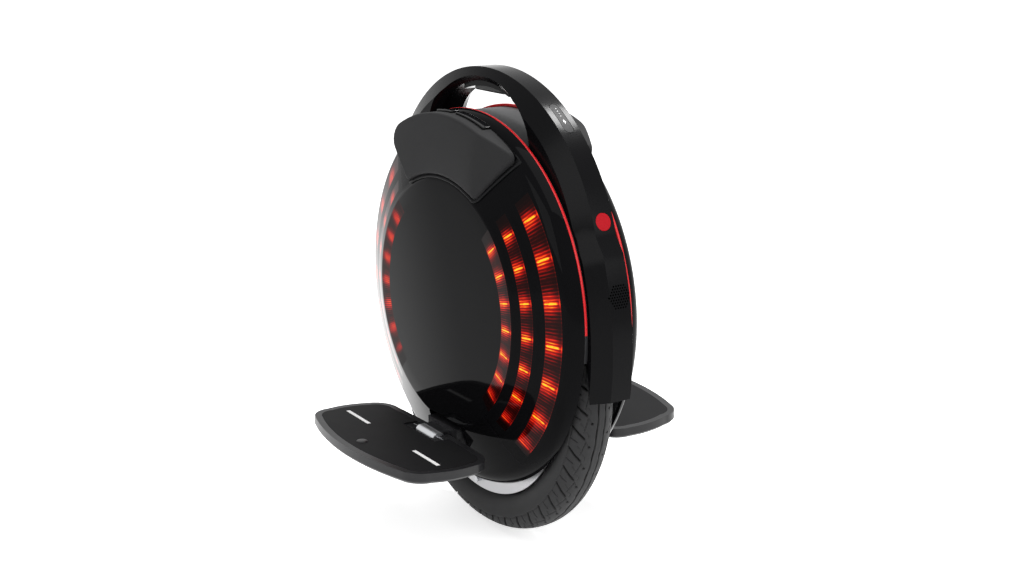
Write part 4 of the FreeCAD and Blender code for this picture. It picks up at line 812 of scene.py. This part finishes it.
@dataclass
class SideCover:
    """One dished gloss cover with its three light bands at each end and the red line along its rim."""

    side: Side
    centre_z: float = 270.0
    face_depth: float = 69.3
    crease_radius: float = 136.0
    crease_round: float = 2.2
    face_radii: Triple = (3.0, 60.0, 100.0)
    slope_radii: Triple = (154.0, 168.0, 184.0)
    shoulder: Point = (195.0, 46.0)
    rim_middle: Point = (204.0, 39.6)
    rim: Point = (209.0, 30.0)
    wall: float = 3.0
    step: float = 0.5
    bands: tuple[Point, ...] = ((117.6, 135.4), (147.5, 161.0), (174.8, 193.6))
    band_half_angle: float = 47.0
    band_sink: float = 0.02
    first_lamps: Point = (38.2, 39.4)
    lamp_pitches: Point = (12.92, 13.88)
    band_steps: int = 189
    band_rows: int = 5
    band_wall: float = 2.0
    window: Triple = (34.0, 100.0, 138.0)
    window_corner: float = 6.0
    window_depths: Point = (25.0, 80.0)
    trim: tuple[float, float, float, float] = (206.1, 209.25, 26.7, 29.85)
    trim_half_angle: float = 88.0
    trim_round: float = 0.9
    trim_steps: int = 353

    def profile(self) -> list[Point]:
        """The cover's section as radius and depth, from the centre out.

        Returns:
            The section's points.
        """
        slope = (self.face_depth - self.shoulder[1]) / (self.shoulder[0] - self.crease_radius)
        low, high = self.crease_radius - self.crease_round, self.crease_radius + self.crease_round
        points: list[Point] = [(r, self.face_depth) for r in self.face_radii]
        for t in np.linspace(0.0, 1.0, 6):
            radius = low * (1 - t) ** 2 + 2 * t * (1 - t) * self.crease_radius + high * t * t
            points.append((radius, self.face_depth - slope * self.crease_round * t * t))
        points += [(r, self.face_depth - slope * (r - self.crease_radius)) for r in self.slope_radii]
        return points + arc_through(self.shoulder, self.rim_middle, self.rim, 12)

    def depth_at(self, radius: Any) -> Any:
        """The cover's depth at a radius, or depths at an array of them."""
        radii, depths = zip(*self.profile())
        return np.interp(radius, radii, depths)

    def point(self, radius: float, angle: float, depth: float) -> Triple:
        """A point by radius and angle about the cover's centre, and depth from the middle plane."""
        return (radius * math.cos(angle), self.side.value * depth, self.centre_z + radius * math.sin(angle))

    def in_band(self, radius: float, angle: float) -> bool:
        """Whether a place on the cover belongs to a light band."""
        turned = math.degrees(angle) % 180.0
        near = min(turned, 180.0 - turned) < self.band_half_angle
        return near and any(low < radius < high for low, high in self.bands)

    def cover(self) -> None:
        """Build the gloss cover with its slots and the window for the pedal hinge."""
        edges = [edge for band in self.bands for edge in band]
        radii = sorted({round(r, 4) for r, _ in self.profile()} | set(edges))
        angles = np.radians(np.arange(0.0, 360.0, self.step))
        points = [self.point(r, a, float(self.depth_at(r))) for r in radii for a in angles]
        count = len(angles)
        half = math.radians(self.step) / 2.0
        faces: Faces = []
        for face in grid_faces(len(radii), count, closed_columns=True):
            row, column = divmod(face[0], count)
            middle = (radii[row] + radii[row + 1]) / 2.0
            if not self.in_band(middle, angles[column] + half):
                faces.append(turned(face, self.side is Side.LEFT))
        faces.append(turned(tuple(range(count)), self.side is Side.RIGHT))
        obj = new_piece(f"gloss_cover_{self.side.label}", points, faces)
        modify(obj, "SOLIDIFY", thickness=self.wall * MM, offset=-1.0)
        self.cut_window(obj)
        smooth(obj, 24.0)
        dress(obj, "panel_gloss", "chassis", (f"side_panel_{self.side.label}",))

    def cut_window(self, obj: Piece) -> None:
        """Cut the window that the pedal hanger comes through.

        Args:
            obj: the cover.
        """
        half, low, high = self.window
        outline = round_box(half, (high - low) / 2.0, self.window_corner)
        middle = (low + high) / 2.0
        spots = [self.side.value * depth for depth in self.window_depths]
        points = [(a, y, middle + b) for y in spots for a, b in outline]
        cutter = new_piece("hinge_window", points, tube_faces(2, len(outline)))
        fix_normals(cutter)
        modify(obj, "BOOLEAN", operation="DIFFERENCE", solver="EXACT", object=cutter)
        bpy.data.objects.remove(cutter)

    def light_bands(self, end: End) -> None:
        """Build the three light bands of one end.

        Args:
            end: the end that they shine from.
        """
        points: list[Sequence[float]] = []
        faces: Faces = []
        marks: list[Point] = []
        inner, outer = self.bands[0], self.bands[-1]
        span = (sum(inner) / 2.0, sum(outer) / 2.0)
        for low, high in self.bands:
            middle = (low + high) / 2.0
            first = float(np.interp(middle, span, self.first_lamps))
            pitch = float(np.interp(middle, span, self.lamp_pitches))
            places = np.linspace(-self.band_half_angle, self.band_half_angle, self.band_steps)
            base = len(points)
            for place in places:
                lamp = (first - place) / pitch
                angle = math.radians(place if end is End.REAR else 180.0 - place)
                for v in np.linspace(0.0, 1.0, self.band_rows):
                    radius = low + (high - low) * v
                    points.append(self.point(radius, angle, float(self.depth_at(radius)) - self.band_sink))
                    marks.append((lamp, v))
            for face in grid_faces(len(places), self.band_rows):
                moved = tuple(base + number for number in face)
                faces.append(turned(moved, self.side.value * end.value > 0))
        obj = new_piece(f"light_bands_{self.side.label}_{end.label}", points, faces)
        layer = obj.data.uv_layers.new(name="lamps")
        for loop in obj.data.loops:
            layer.data[loop.index].uv = marks[loop.vertex_index]
        modify(obj, "SOLIDIFY", thickness=self.band_wall * MM, offset=-1.0)
        smooth(obj, 40.0)
        finish = FRONT_GLOW if end is End.FRONT else None
        dress(obj, "light_red", "chassis", (f"light_guides_{self.side.label}_{end.label}",), finish)

    def rim_axes(self, place: float, radius: float, depth: float) -> tuple[Vector, Vector, Vector]:
        """Axes at a place on the rim.

        Args:
            place: the angle from straight up.
            radius: the distance from the cover's centre.
            depth: the distance from the middle plane.

        Returns:
            The outward axis, the sideways axis and the point itself.
        """
        out = Vector((math.sin(place), 0.0, math.cos(place)))
        side = Vector((0.0, float(self.side.value), 0.0))
        return out, side, out * radius + side * depth + Vector((0.0, 0.0, self.centre_z))

    def red_line(self) -> None:
        """Build the thin red line along the cover's upper rim."""
        low, high, inside, outside = self.trim
        half_r, half_y = (high - low) / 2.0, (outside - inside) / 2.0
        radius, depth = (low + high) / 2.0, (inside + outside) / 2.0

        def rail(place: float) -> Matrix:
            """The line's frame at an angle from straight up."""
            up, side, centre = self.rim_axes(place, radius, depth)
            return frame_of(up, side, up.cross(side), centre)

        reach = self.trim_half_angle
        places = list(np.radians(np.linspace(-reach, reach, self.trim_steps)))
        section = round_box(half_r, half_y, self.trim_round, 3)
        obj = sweep(f"red_line_{self.side.label}", section, rail, places)
        fix_normals(obj)
        smooth(obj, 40.0)
        dress(obj, "trim_red", "chassis", (f"red_trim_{self.side.label}",))

    def build(self) -> None:
        """Build the cover, its bands and its line."""
        self.cover()
        for end in End:
            self.light_bands(end)
        self.red_line()


@dataclass
class KneePad:
    """One moulded knee pad on a cover's upper slope, with the gloss clips above it."""

    side: Side
    cover: SideCover
    low_radius: float = 141.5
    top_radius: float = 207.0
    low_angle: float = 28.6
    top_angle: float = 33.2
    corners: tuple[float, ...] = (7.0, 7.0, 18.0, 7.0)
    depths: tuple[Point, ...] = ((141.5, 71.5), (174.25, 71.35), (207.0, 68.0))
    taper_from: float = 64.5
    taper_slope: float = 0.459
    crease_round: float = 3.0
    lip: float = 45.5
    seat: float = 1.2
    edge: float = 3.0
    wall_rise: float = 0.4
    wall_shares: Point = (0.0, 0.5)
    insets: tuple[float, ...] = (
        0.0, 0.2, 0.6, 1.2, 2.0, 3.0, 4.5, 6.5, 9.0, 12.0, 15.0, 18.0, 21.0, 24.0, 27.0, 29.5, 31.5)
    frame_section: tuple[Point, ...] = (
        (2.0, 0.15), (2.0, 0.9), (-1.2, 0.9), (-1.6, 1.9),
        (-2.2, 2.2), (-3.4, 2.2), (-4.0, 1.7), (-4.2, 0.15))
    frame_reach: float = 203.0
    clip_angles: tuple[Point, ...] = ((3.0, 18.0), (-7.5, 0.8))
    clip_radius: float = 208.2
    clip_depth: float = 51.5
    clip_half: Point = (5.2, 1.3)
    clip_round: float = 0.9
    clip_steps: int = 40

    def outline(self, inset: float) -> list[Point]:
        """The pad's outline in angle and radius, moved in by an inset.

        Args:
            inset: how far the outline is moved in.

        Returns:
            Points as angle in radians and radius.
        """
        mean = (self.low_radius + self.top_radius) / 2.0
        low, top = self.low_radius + inset, self.top_radius - inset
        spread = math.radians(self.top_angle) - math.radians(self.low_angle)
        rise = spread * mean / (self.top_radius - self.low_radius)

        def half_at(radius: float) -> float:
            """Half the pad's width at a radius, as a length at the mean radius."""
            full = math.radians(self.low_angle) * mean + rise * (radius - self.low_radius)
            return full - inset * math.hypot(1.0, rise)

        corners = [(half_at(low), low), (half_at(top), top), (-half_at(top), top), (-half_at(low), low)]
        arcs: list[list[Vector]] = []
        for number, here in enumerate(corners):
            spot = Vector(here)
            back = (Vector(corners[number - 1]) - spot).normalized()
            ahead = (Vector(corners[(number + 1) % 4]) - spot).normalized()
            radius = max(self.corners[number] - inset, 0.6)
            half = back.angle(ahead) / 2.0
            middle = spot + (back + ahead).normalized() * (radius / math.sin(half))
            start, end = (spot + way * (radius / math.tan(half)) - middle for way in (back, ahead))
            turns = np.linspace(0.0, 1.0, 9)
            arcs.append([middle + start.lerp(end, float(turn)).normalized() * radius for turn in turns])
        points: list[Vector] = []
        for number, arc in enumerate(arcs):
            goal = arcs[(number + 1) % 4][0]
            steps = np.linspace(0.0, 1.0, 62 if number % 2 else 18)[1:-1]
            points += arc + [arc[-1].lerp(goal, float(step)) for step in steps]
        return [(point.x / mean, point.y) for point in points]

    def top_depth(self, angle: float, radius: float) -> float:
        """The depth of the pad's face, which slopes away behind a soft crease.

        Args:
            angle: the angle from straight up, towards the rear.
            radius: the distance from the cover's centre.

        Returns:
            The depth from the middle plane.
        """
        (a, da), (b, db), (c, dc) = self.depths
        crown = (radius - b) * (radius - c) / ((a - b) * (a - c)) * da
        crown += (radius - a) * (radius - c) / ((b - a) * (b - c)) * db
        crown += (radius - a) * (radius - b) / ((c - a) * (c - b)) * dc
        taper = da - self.taper_slope * (radius * math.sin(angle) - self.taper_from)
        return (crown + taper - math.hypot(crown - taper, self.crease_round)) / 2.0 + self.crease_round / 4.0

    def back_depth(self, radius: float) -> float:
        """The depth of the pad's back at a radius, just off the tray."""
        reach = self.cover.shoulder[0]
        slope = float(self.cover.depth_at(min(radius, reach))) + self.seat
        return max(slope, self.lip) if radius < reach else self.lip + self.seat

    def place(self, angle: float, radius: float, depth: float) -> Triple:
        """A point by angle from straight up, radius and depth."""
        height = self.cover.centre_z + radius * math.cos(angle)
        return (radius * math.sin(angle), self.side.value * depth, height)

    def pad(self) -> None:
        """Build the soft pad as rings from its back edge over the round to the crown."""
        rings: list[list[Triple]] = []
        rim = self.outline(0.0)
        rings.append([self.place(a, r, self.back_depth(r)) for a, r in self.outline(self.seat)])
        for share in self.wall_shares:
            ring = []
            for a, r in rim:
                low, high = self.back_depth(r) + self.wall_rise, self.top_depth(a, r) - self.edge
                ring.append(self.place(a, r, low + max(high - low, 0.0) * share))
            rings.append(ring)
        for inset in self.insets:
            drop = self.edge - math.sqrt(max(self.edge ** 2 - (self.edge - min(inset, self.edge)) ** 2, 0.0))
            rings.append([self.place(a, r, self.top_depth(a, r) - drop) for a, r in self.outline(inset)])
        count = len(rim)
        points = [point for ring in rings for point in ring]
        faces = grid_faces(len(rings), count, closed_columns=True)
        faces.append(tuple(range(count)))
        faces.append(tuple(reversed(range(len(points) - count, len(points)))))
        obj = new_piece(f"soft_pad_{self.side.label}", points, faces)
        fix_normals(obj)
        smooth(obj, 50.0)
        dress(obj, "pad_charcoal", "chassis", (f"knee_pad_{self.side.label}",))

    def surround(self) -> None:
        """Build the hard frame round the pad, with a groove between the two."""
        rings = []
        for inset, rise in self.frame_section:
            spots = [(a, min(r, self.frame_reach)) for a, r in self.outline(inset)]
            rings.append([self.place(a, r, float(self.cover.depth_at(r)) + rise) for a, r in spots])
        points = [point for ring in rings for point in ring]
        faces = grid_faces(len(rings), len(rings[0]), closed_rows=True, closed_columns=True)
        obj = new_piece(f"pad_frame_{self.side.label}", points, faces)
        fix_normals(obj)
        smooth(obj, 40.0)
        dress(obj, "tray_black", "chassis", (f"pad_tray_{self.side.label}",))

    def clips(self) -> None:
        """Build the two gloss clips on the pad's upper edge."""
        for number, ends in enumerate(self.clip_angles, 1):

            def rail(place: float) -> Matrix:
                """The clip's frame at an angle from straight up."""
                out, side, centre = self.cover.rim_axes(place, self.clip_radius, self.clip_depth)
                return frame_of(side, out, out.cross(side), centre)

            places = list(np.radians(np.linspace(*ends, self.clip_steps)))
            section = round_box(*self.clip_half, self.clip_round)
            obj = sweep(f"pad_clip_{self.side.label}_{number}", section, rail, places)
            fix_normals(obj)
            bevel(obj, self.clip_round, 60.0, 3)
            smooth(obj, 40.0)
            dress(obj, "panel_gloss", "chassis", finish=GLOSS_BAR)

    def build(self) -> None:
        """Build the pad, its frame and its clips."""
        self.pad()
        self.surround()
        self.clips()


@dataclass
class RoadTyre:
    """The tyre with its sipes cut into the tread."""

    radius: float = 200.0
    half_width: float = 26.3
    shoulder_radius: float = 178.0
    cap: Point = (194.06, 17.9)
    belly: Point = (167.5, 24.9)
    bead: Point = (158.0, 17.8)
    inner: tuple[Point, ...] = ((158.0, 13.2), (170.0, 19.8), (178.0, 20.8), (188.0, 13.5), (192.0, 0.0))
    axle_z: float = 200.0
    pitches: int = 45
    steps: int = 36
    groove_depth: float = 2.0
    tread_rows: int = 96
    wall_rows: int = 12
    centre_lines: Point = (-4.1, 5.0)
    sipes: tuple[tuple[Point, Point, float], ...] = (
        ((0.0, -32.4), (-13.2, -17.0), 1.0), ((-13.2, -17.0), (-22.8, -10.7), 0.4),
        ((0.0, -32.4), (-24.5, -32.8), 0.45), ((-15.3, -32.3), (-18.7, -23.4), 0.55),
        ((-22.8, -23.0), (-27.4, -18.6), 0.4), ((-31.9, -16.4), (-35.5, -12.8), 0.4),
        ((-35.5, -12.8), (-40.0, -12.6), 0.4), ((-16.0, -14.8), (-33.2, -18.3), 0.45),
    )
    dot: Triple = (-22.8, -10.7, 1.1)
    sipe_half: float = 0.2
    dot_margin: float = 0.35
    flank: float = 0.6
    line_wave: float = 0.35
    line_share: float = 0.7
    line_half: float = 0.85
    line_flank: float = 0.5
    tread_reach: float = 34.5
    tilt_centre: float = 172.0
    off_tread: float = 1e3

    def groove(self, along: np.ndarray, across: float) -> np.ndarray:
        """The depth of the grooves at places round the tread.

        Args:
            along: places within a pitch, in millimetres.
            across: the distance from the tread's middle line.

        Returns:
            Depths from 0 to 1.
        """
        pitch = 2.0 * math.pi * self.radius / self.pitches
        depth = np.zeros_like(along)
        across, offset = (across, 0.0) if across < 0.0 else (-across, pitch / 2.0)
        for turn in (-2, -1, 0, 1):
            u = along + offset + turn * pitch
            for (au, av), (bu, bv), share in self.sipes:
                du, dv = bu - au, bv - av
                t = np.clip(((u - au) * du + (across - av) * dv) / (du * du + dv * dv), 0.0, 1.0)
                away = np.hypot(u - au - t * du, across - av - t * dv)
                cut = np.clip((self.sipe_half + share - away) / self.flank, 0.0, 1.0)
                depth = np.maximum(depth, share * cut)
            cu, cv, reach = self.dot
            away = np.hypot(u - cu, across - cv)
            depth = np.maximum(depth, np.clip((reach + self.dot_margin - away) / self.flank, 0.0, 1.0))
        return depth

    def centre_groove(self, along: np.ndarray, across: float) -> np.ndarray:
        """The depth of the two thin wavy lines that run round the tread's middle.

        Args:
            along: places within a pitch, in millimetres.
            across: the distance from the tread's middle line.

        Returns:
            Depths from 0 to 1.
        """
        turn = 2.0 * math.pi * along * self.pitches / (2.0 * math.pi * self.radius)
        wave = self.line_wave * np.sin(turn)
        nearest = np.min([np.abs(across - line - wave) for line in self.centre_lines], axis=0)
        return self.line_share * np.clip((self.line_half - nearest) / self.line_flank, 0.0, 1.0)

    def build(self) -> None:
        """Build the tyre as a closed ring."""
        shoulder = (self.shoulder_radius, self.half_width)
        half = arc_through((self.radius, 0.0), self.cap, shoulder, self.tread_rows // 2)
        outer = half + arc_through(shoulder, self.belly, self.bead, self.wall_rows)[1:]
        steps = [math.dist(a, b) for a, b in zip(outer, outer[1:])]
        lengths = np.concatenate([[0.0], np.cumsum(steps)])
        right = [(r, y, float(s)) for (r, y), s in zip(outer, lengths)]
        left = [(r, -y, -s) for r, y, s in reversed(right[1:])]
        inner = [(r, y, self.off_tread) for r, y in self.inner]
        inner += [(r, -y, self.off_tread) for r, y in reversed(self.inner[:-1])]
        section = left + right + inner
        count = self.pitches * self.steps
        angles = np.arange(count) * 2.0 * math.pi / count
        along = (angles * self.radius) % (2.0 * math.pi * self.radius / self.pitches)
        points = np.zeros((len(section), count, 3))
        depths = np.zeros((len(section), count))
        for row, (r, y, s) in enumerate(section):
            if abs(s) < self.tread_reach:
                depths[row] = np.maximum(self.groove(along, s), self.centre_groove(along, s))
            sunk = depths[row] * self.groove_depth
            tilt = math.atan2(y, r - self.tilt_centre)
            rr = r - sunk * math.cos(tilt)
            points[row, :, 0] = rr * np.cos(angles)
            points[row, :, 1] = y - sunk * math.sin(tilt)
            points[row, :, 2] = self.axle_z + rr * np.sin(angles)
        faces = grid_faces(len(section), count, closed_rows=True, closed_columns=True)
        obj = new_piece("road_tyre", points.reshape(-1, 3), faces)
        obj.data.attributes.new("groove", "FLOAT", "POINT").data.foreach_set("value", depths.ravel())
        fix_normals(obj)
        smooth(obj, 45.0)
        dress(obj, "tyre_black", "wheel", ("tyre",))


@dataclass
class Mouldings:
    """Pieces that keep their solid's shape and get rounded edges."""

    rounds: dict[str, tuple[str, str, float]] = field(default_factory=lambda: {
        "handle_arch": ("handle_shell", "chassis", 1.1),
        "power_button": ("button_cap", "power_button", 0.8),
        "lift_switch": ("lift_bar", "lift_switch", 0.7),
        "charge_cover": ("charge_flap", "charge_cover", 0.5),
        "pedal_plate_left": ("pedal_casting_left", "left_pedal", 1.0),
        "pedal_plate_right": ("pedal_casting_right", "right_pedal", 1.0),
        "pedal_hanger_left": ("hinge_bracket_left", "chassis", 0.6),
        "pedal_hanger_right": ("hinge_bracket_right", "chassis", 0.6),
        "tail_lamp": ("round_lamp", "chassis", 0.8),
        "head_lamp": ("clear_lamp", "chassis", 0.8),
    })

    def build(self, slots: dict[str, str]) -> None:
        """Build each piece.

        Args:
            slots: the material slot of each CAD node.
        """
        for node, (name, body, width) in self.rounds.items():
            obj = solid_copy(node, name)
            bevel(obj, width)
            smooth(obj, 32.0)
            modify(obj, "WEIGHTED_NORMAL", keep_sharp=True)
            dress(obj, slots[node], body, (node,))


@dataclass
class SmallSigns:
    """The charge sign on the power button and the plain stud on each pedal."""

    button_angle: float = 36.2
    arch_z: float = 312.3
    lift: float = 0.25
    bolt: tuple[Point, ...] = ((-3.4, 0.6), (0.3, -1.9), (0.1, -0.4), (3.4, -0.6), (-0.3, 1.9), (-0.1, 0.4))
    bolt_place: float = 6.0
    dots: tuple[float, ...] = (-13.0, -9.4, -5.8, -2.2)
    dot_radius: float = 0.5
    dot_steps: int = 16
    sink: float = 0.3
    stud: tuple[float, float] = (0.0, 172.0)
    stud_radius: float = 6.2
    stud_steps: int = 48
    stud_top: float = 130.5
    stud_profile: tuple[Point, ...] = ((0.5, 0.9), (0.86, 0.75), (0.97, 0.45), (1.0, 0.0), (1.0, -0.8))
    pedal_tilt: float = 3.5

    def on_button(self, top: float, along: float, across: float, rise: float) -> Vector:
        """A point on the button's face.

        Args:
            top: the face's height along its own normal.
            along: the distance down the arch.
            across: the distance across the arch.
            rise: the height above the face.

        Returns:
            The point.
        """
        angle = math.radians(self.button_angle)
        out = Vector((math.sin(angle), 0.0, math.cos(angle)))
        down = Vector((math.cos(angle), 0.0, -math.sin(angle)))
        middle = Vector((0.0, 0.0, self.arch_z))
        return out * (top + rise) + down * (along + middle.dot(down)) + Vector((0.0, across, 0.0))

    def build(self) -> None:
        """Build the sign and the studs."""
        corners = np.array([v.co for v in frame["nodes"]["power_button"].data.vertices]) / MM
        angle = math.radians(self.button_angle)
        top = float((corners @ np.array((math.sin(angle), 0.0, math.cos(angle)))).max())
        outlines = [[(self.bolt_place + a, b) for a, b in self.bolt]]
        turns = ring_angles(self.dot_steps)
        ring = [(self.dot_radius * math.cos(t), self.dot_radius * math.sin(t)) for t in turns]
        outlines += [[(place + a, b) for a, b in ring] for place in self.dots]
        points: list[Vector] = []
        faces: Faces = []
        for outline in outlines:
            faces += tube_faces(2, len(outline), len(points))
            rises = (-self.sink, self.lift)
            points += [self.on_button(top, a, b, rise) for rise in rises for a, b in outline]
        obj = new_piece("charge_sign", points, faces)
        fix_normals(obj)
        dress(obj, "stripe_white", "power_button", finish=SIGN_WHITE)
        for side in Side:
            self.stud_piece(side)

    def stud_piece(self, side: Side) -> None:
        """Build the plain round stud on a pedal.

        Args:
            side: the pedal's side.
        """
        x, y = self.stud
        turns = ring_angles(self.stud_steps)
        lean = math.tan(math.radians(self.pedal_tilt))
        points = []
        for share, rise in self.stud_profile:
            reach = self.stud_radius * share
            for t in turns:
                out = y + reach * math.sin(t)
                height = self.stud_top + rise + lean * (out - y)
                points.append((x + reach * math.cos(t), side.value * out, height))
        faces = tube_faces(len(self.stud_profile), len(turns))
        obj = new_piece(f"pedal_stud_{side.label}", points, faces)
        fix_normals(obj)
        smooth(obj, 40.0)
        dress(obj, "pedal_dark", f"{side.label}_pedal")


def dress_remaining(slots: dict[str, str]) -> None:
    """Give every CAD node that still shows its finish.

    Args:
        slots: the material slot of each CAD node.
    """
    for name, obj in frame["nodes"].items():
        if obj.hide_render:
            continue
        material = FINISHES[slots[name]].material()
        if obj.material_slots:
            for place in obj.material_slots:
                place.material = material
        else:
            obj.data.materials.append(material)
        LOG.info("dressed %s", name)


def seen_ray(tree: Tree) -> Socket:
    """1 for what the camera sees, straight, mirrored or through glass.

    Args:
        tree: the tree to add the nodes to.

    Returns:
        The output with the mask.
    """
    path = tree.add("LightPath")
    bent = tree.math("MAXIMUM", path.outputs["Is Glossy Ray"], path.outputs["Is Transmission Ray"])
    return tree.math("MAXIMUM", path.outputs["Is Camera Ray"], bent)


@dataclass
class Studio:
    """Pale floor, soft light, white surround and the camera."""

    eye: Triple = (1.3180, -0.8573, 0.6951)
    forward: Triple = (-0.8037, 0.5365, -0.2575)
    lens: float = 51.186
    sensor: float = 36.0
    aim_height: float = 0.26
    floor_half: float = 30.0
    floor_level: float = -0.5
    floor_glow: float = 0.62
    fill: float = 0.55
    lamps: tuple[tuple[str, Triple, float, float], ...] = (
        ("top_softbox", (0.6, -0.2, 2.4), 1.8, 34.0),
        ("rear_softbox", (2.4, 0.9, 1.5), 1.4, 24.0),
        ("side_softbox", (0.2, -2.8, 1.5), 1.6, 22.0),
        ("arch_light", (-0.15, 1.44, 2.50), 0.5, 50.0),
    )

    def camera(self) -> None:
        """Place the camera at the photograph's view."""
        data = bpy.data.cameras.new("camera")
        data.lens = self.lens
        data.sensor_width = self.sensor
        obj = new_object("camera", data)
        obj.location = self.eye
        obj.rotation_euler = Vector(self.forward).to_track_quat("-Z", "Y").to_euler()
        bpy.context.scene.camera = obj

    def surround(self) -> None:
        """White to the camera and in reflections, softer as a light."""
        world = bpy.data.worlds.new("white_surround")
        bpy.context.scene.world = world
        world.use_nodes = True
        tree = Tree(world.node_tree)
        levels = {"Value": seen_ray(tree), "To Min": self.fill, "To Max": 1.0}
        strength = tree.add("MapRange", levels).outputs[0]
        back = tree.add("Background", {"Color": (1.0, 1.0, 1.0, 1.0), "Strength": strength})
        tree.link(back.outputs[0], tree.add("OutputWorld"), "Surface")

    def floor(self) -> None:
        """The pale floor, which keeps the shadow."""
        half = self.floor_half / MM
        signs = ((-1, -1), (1, -1), (1, 1), (-1, 1))
        corners = [(a * half, b * half, self.floor_level) for a, b in signs]
        obj = new_piece("floor", corners, [(0, 1, 2, 3)])
        material = bpy.data.materials.new("floor_white")
        material.use_nodes = True
        tree = Tree(material.node_tree)
        place = tree.place()
        cloud = tree.add("TexNoise", {"Vector": place, "Scale": 3.0}).outputs["Fac"]
        tone = tree.ramp(cloud, ((0.3, (0.93, 0.93, 0.93)), (0.7, (0.95, 0.95, 0.95))))
        shader = tree.add("BsdfPrincipled", {"Base Color": tone, "Roughness": 0.9, "Specular IOR Level": 0.0})
        shader.inputs["Emission Color"].default_value = (1.0, 1.0, 1.0, 1.0)
        glow = tree.mul(seen_ray(tree), self.floor_glow)
        tree.link(glow, shader, "Emission Strength")
        tree.link(shader.outputs[0], tree.add("OutputMaterial"), "Surface")
        obj.data.materials.append(material)

    def light(self) -> None:
        """Place the soft lamps, each turned to the machine's middle."""
        for name, place, size, power in self.lamps:
            data = bpy.data.lights.new(name, "AREA")
            data.size = size
            data.energy = power
            obj = new_object(name, data)
            obj.location = place
            aim = Vector((0.0, 0.0, self.aim_height)) - Vector(place)
            obj.rotation_euler = aim.to_track_quat("-Z", "Y").to_euler()

    def build(self) -> None:
        """Build the studio."""
        self.camera()
        self.surround()
        self.floor()
        self.light()
        bpy.context.scene.view_settings.view_transform = "Standard"


def main() -> None:
    """Build the studio and the machine."""
    logging.basicConfig(level=logging.INFO, format="%(name)s: %(message)s")
    slots = {row["node"]: row["material_slot"] for row in frame["record"]["subparts"]}
    Studio().build()
    for side in Side:
        cover = SideCover(side)
        cover.build()
        KneePad(side, cover).build()
    RoadTyre().build()
    Mouldings().build(slots)
    SmallSigns().build()
    dress_remaining(slots)


if __name__ == "__main__":
    main()
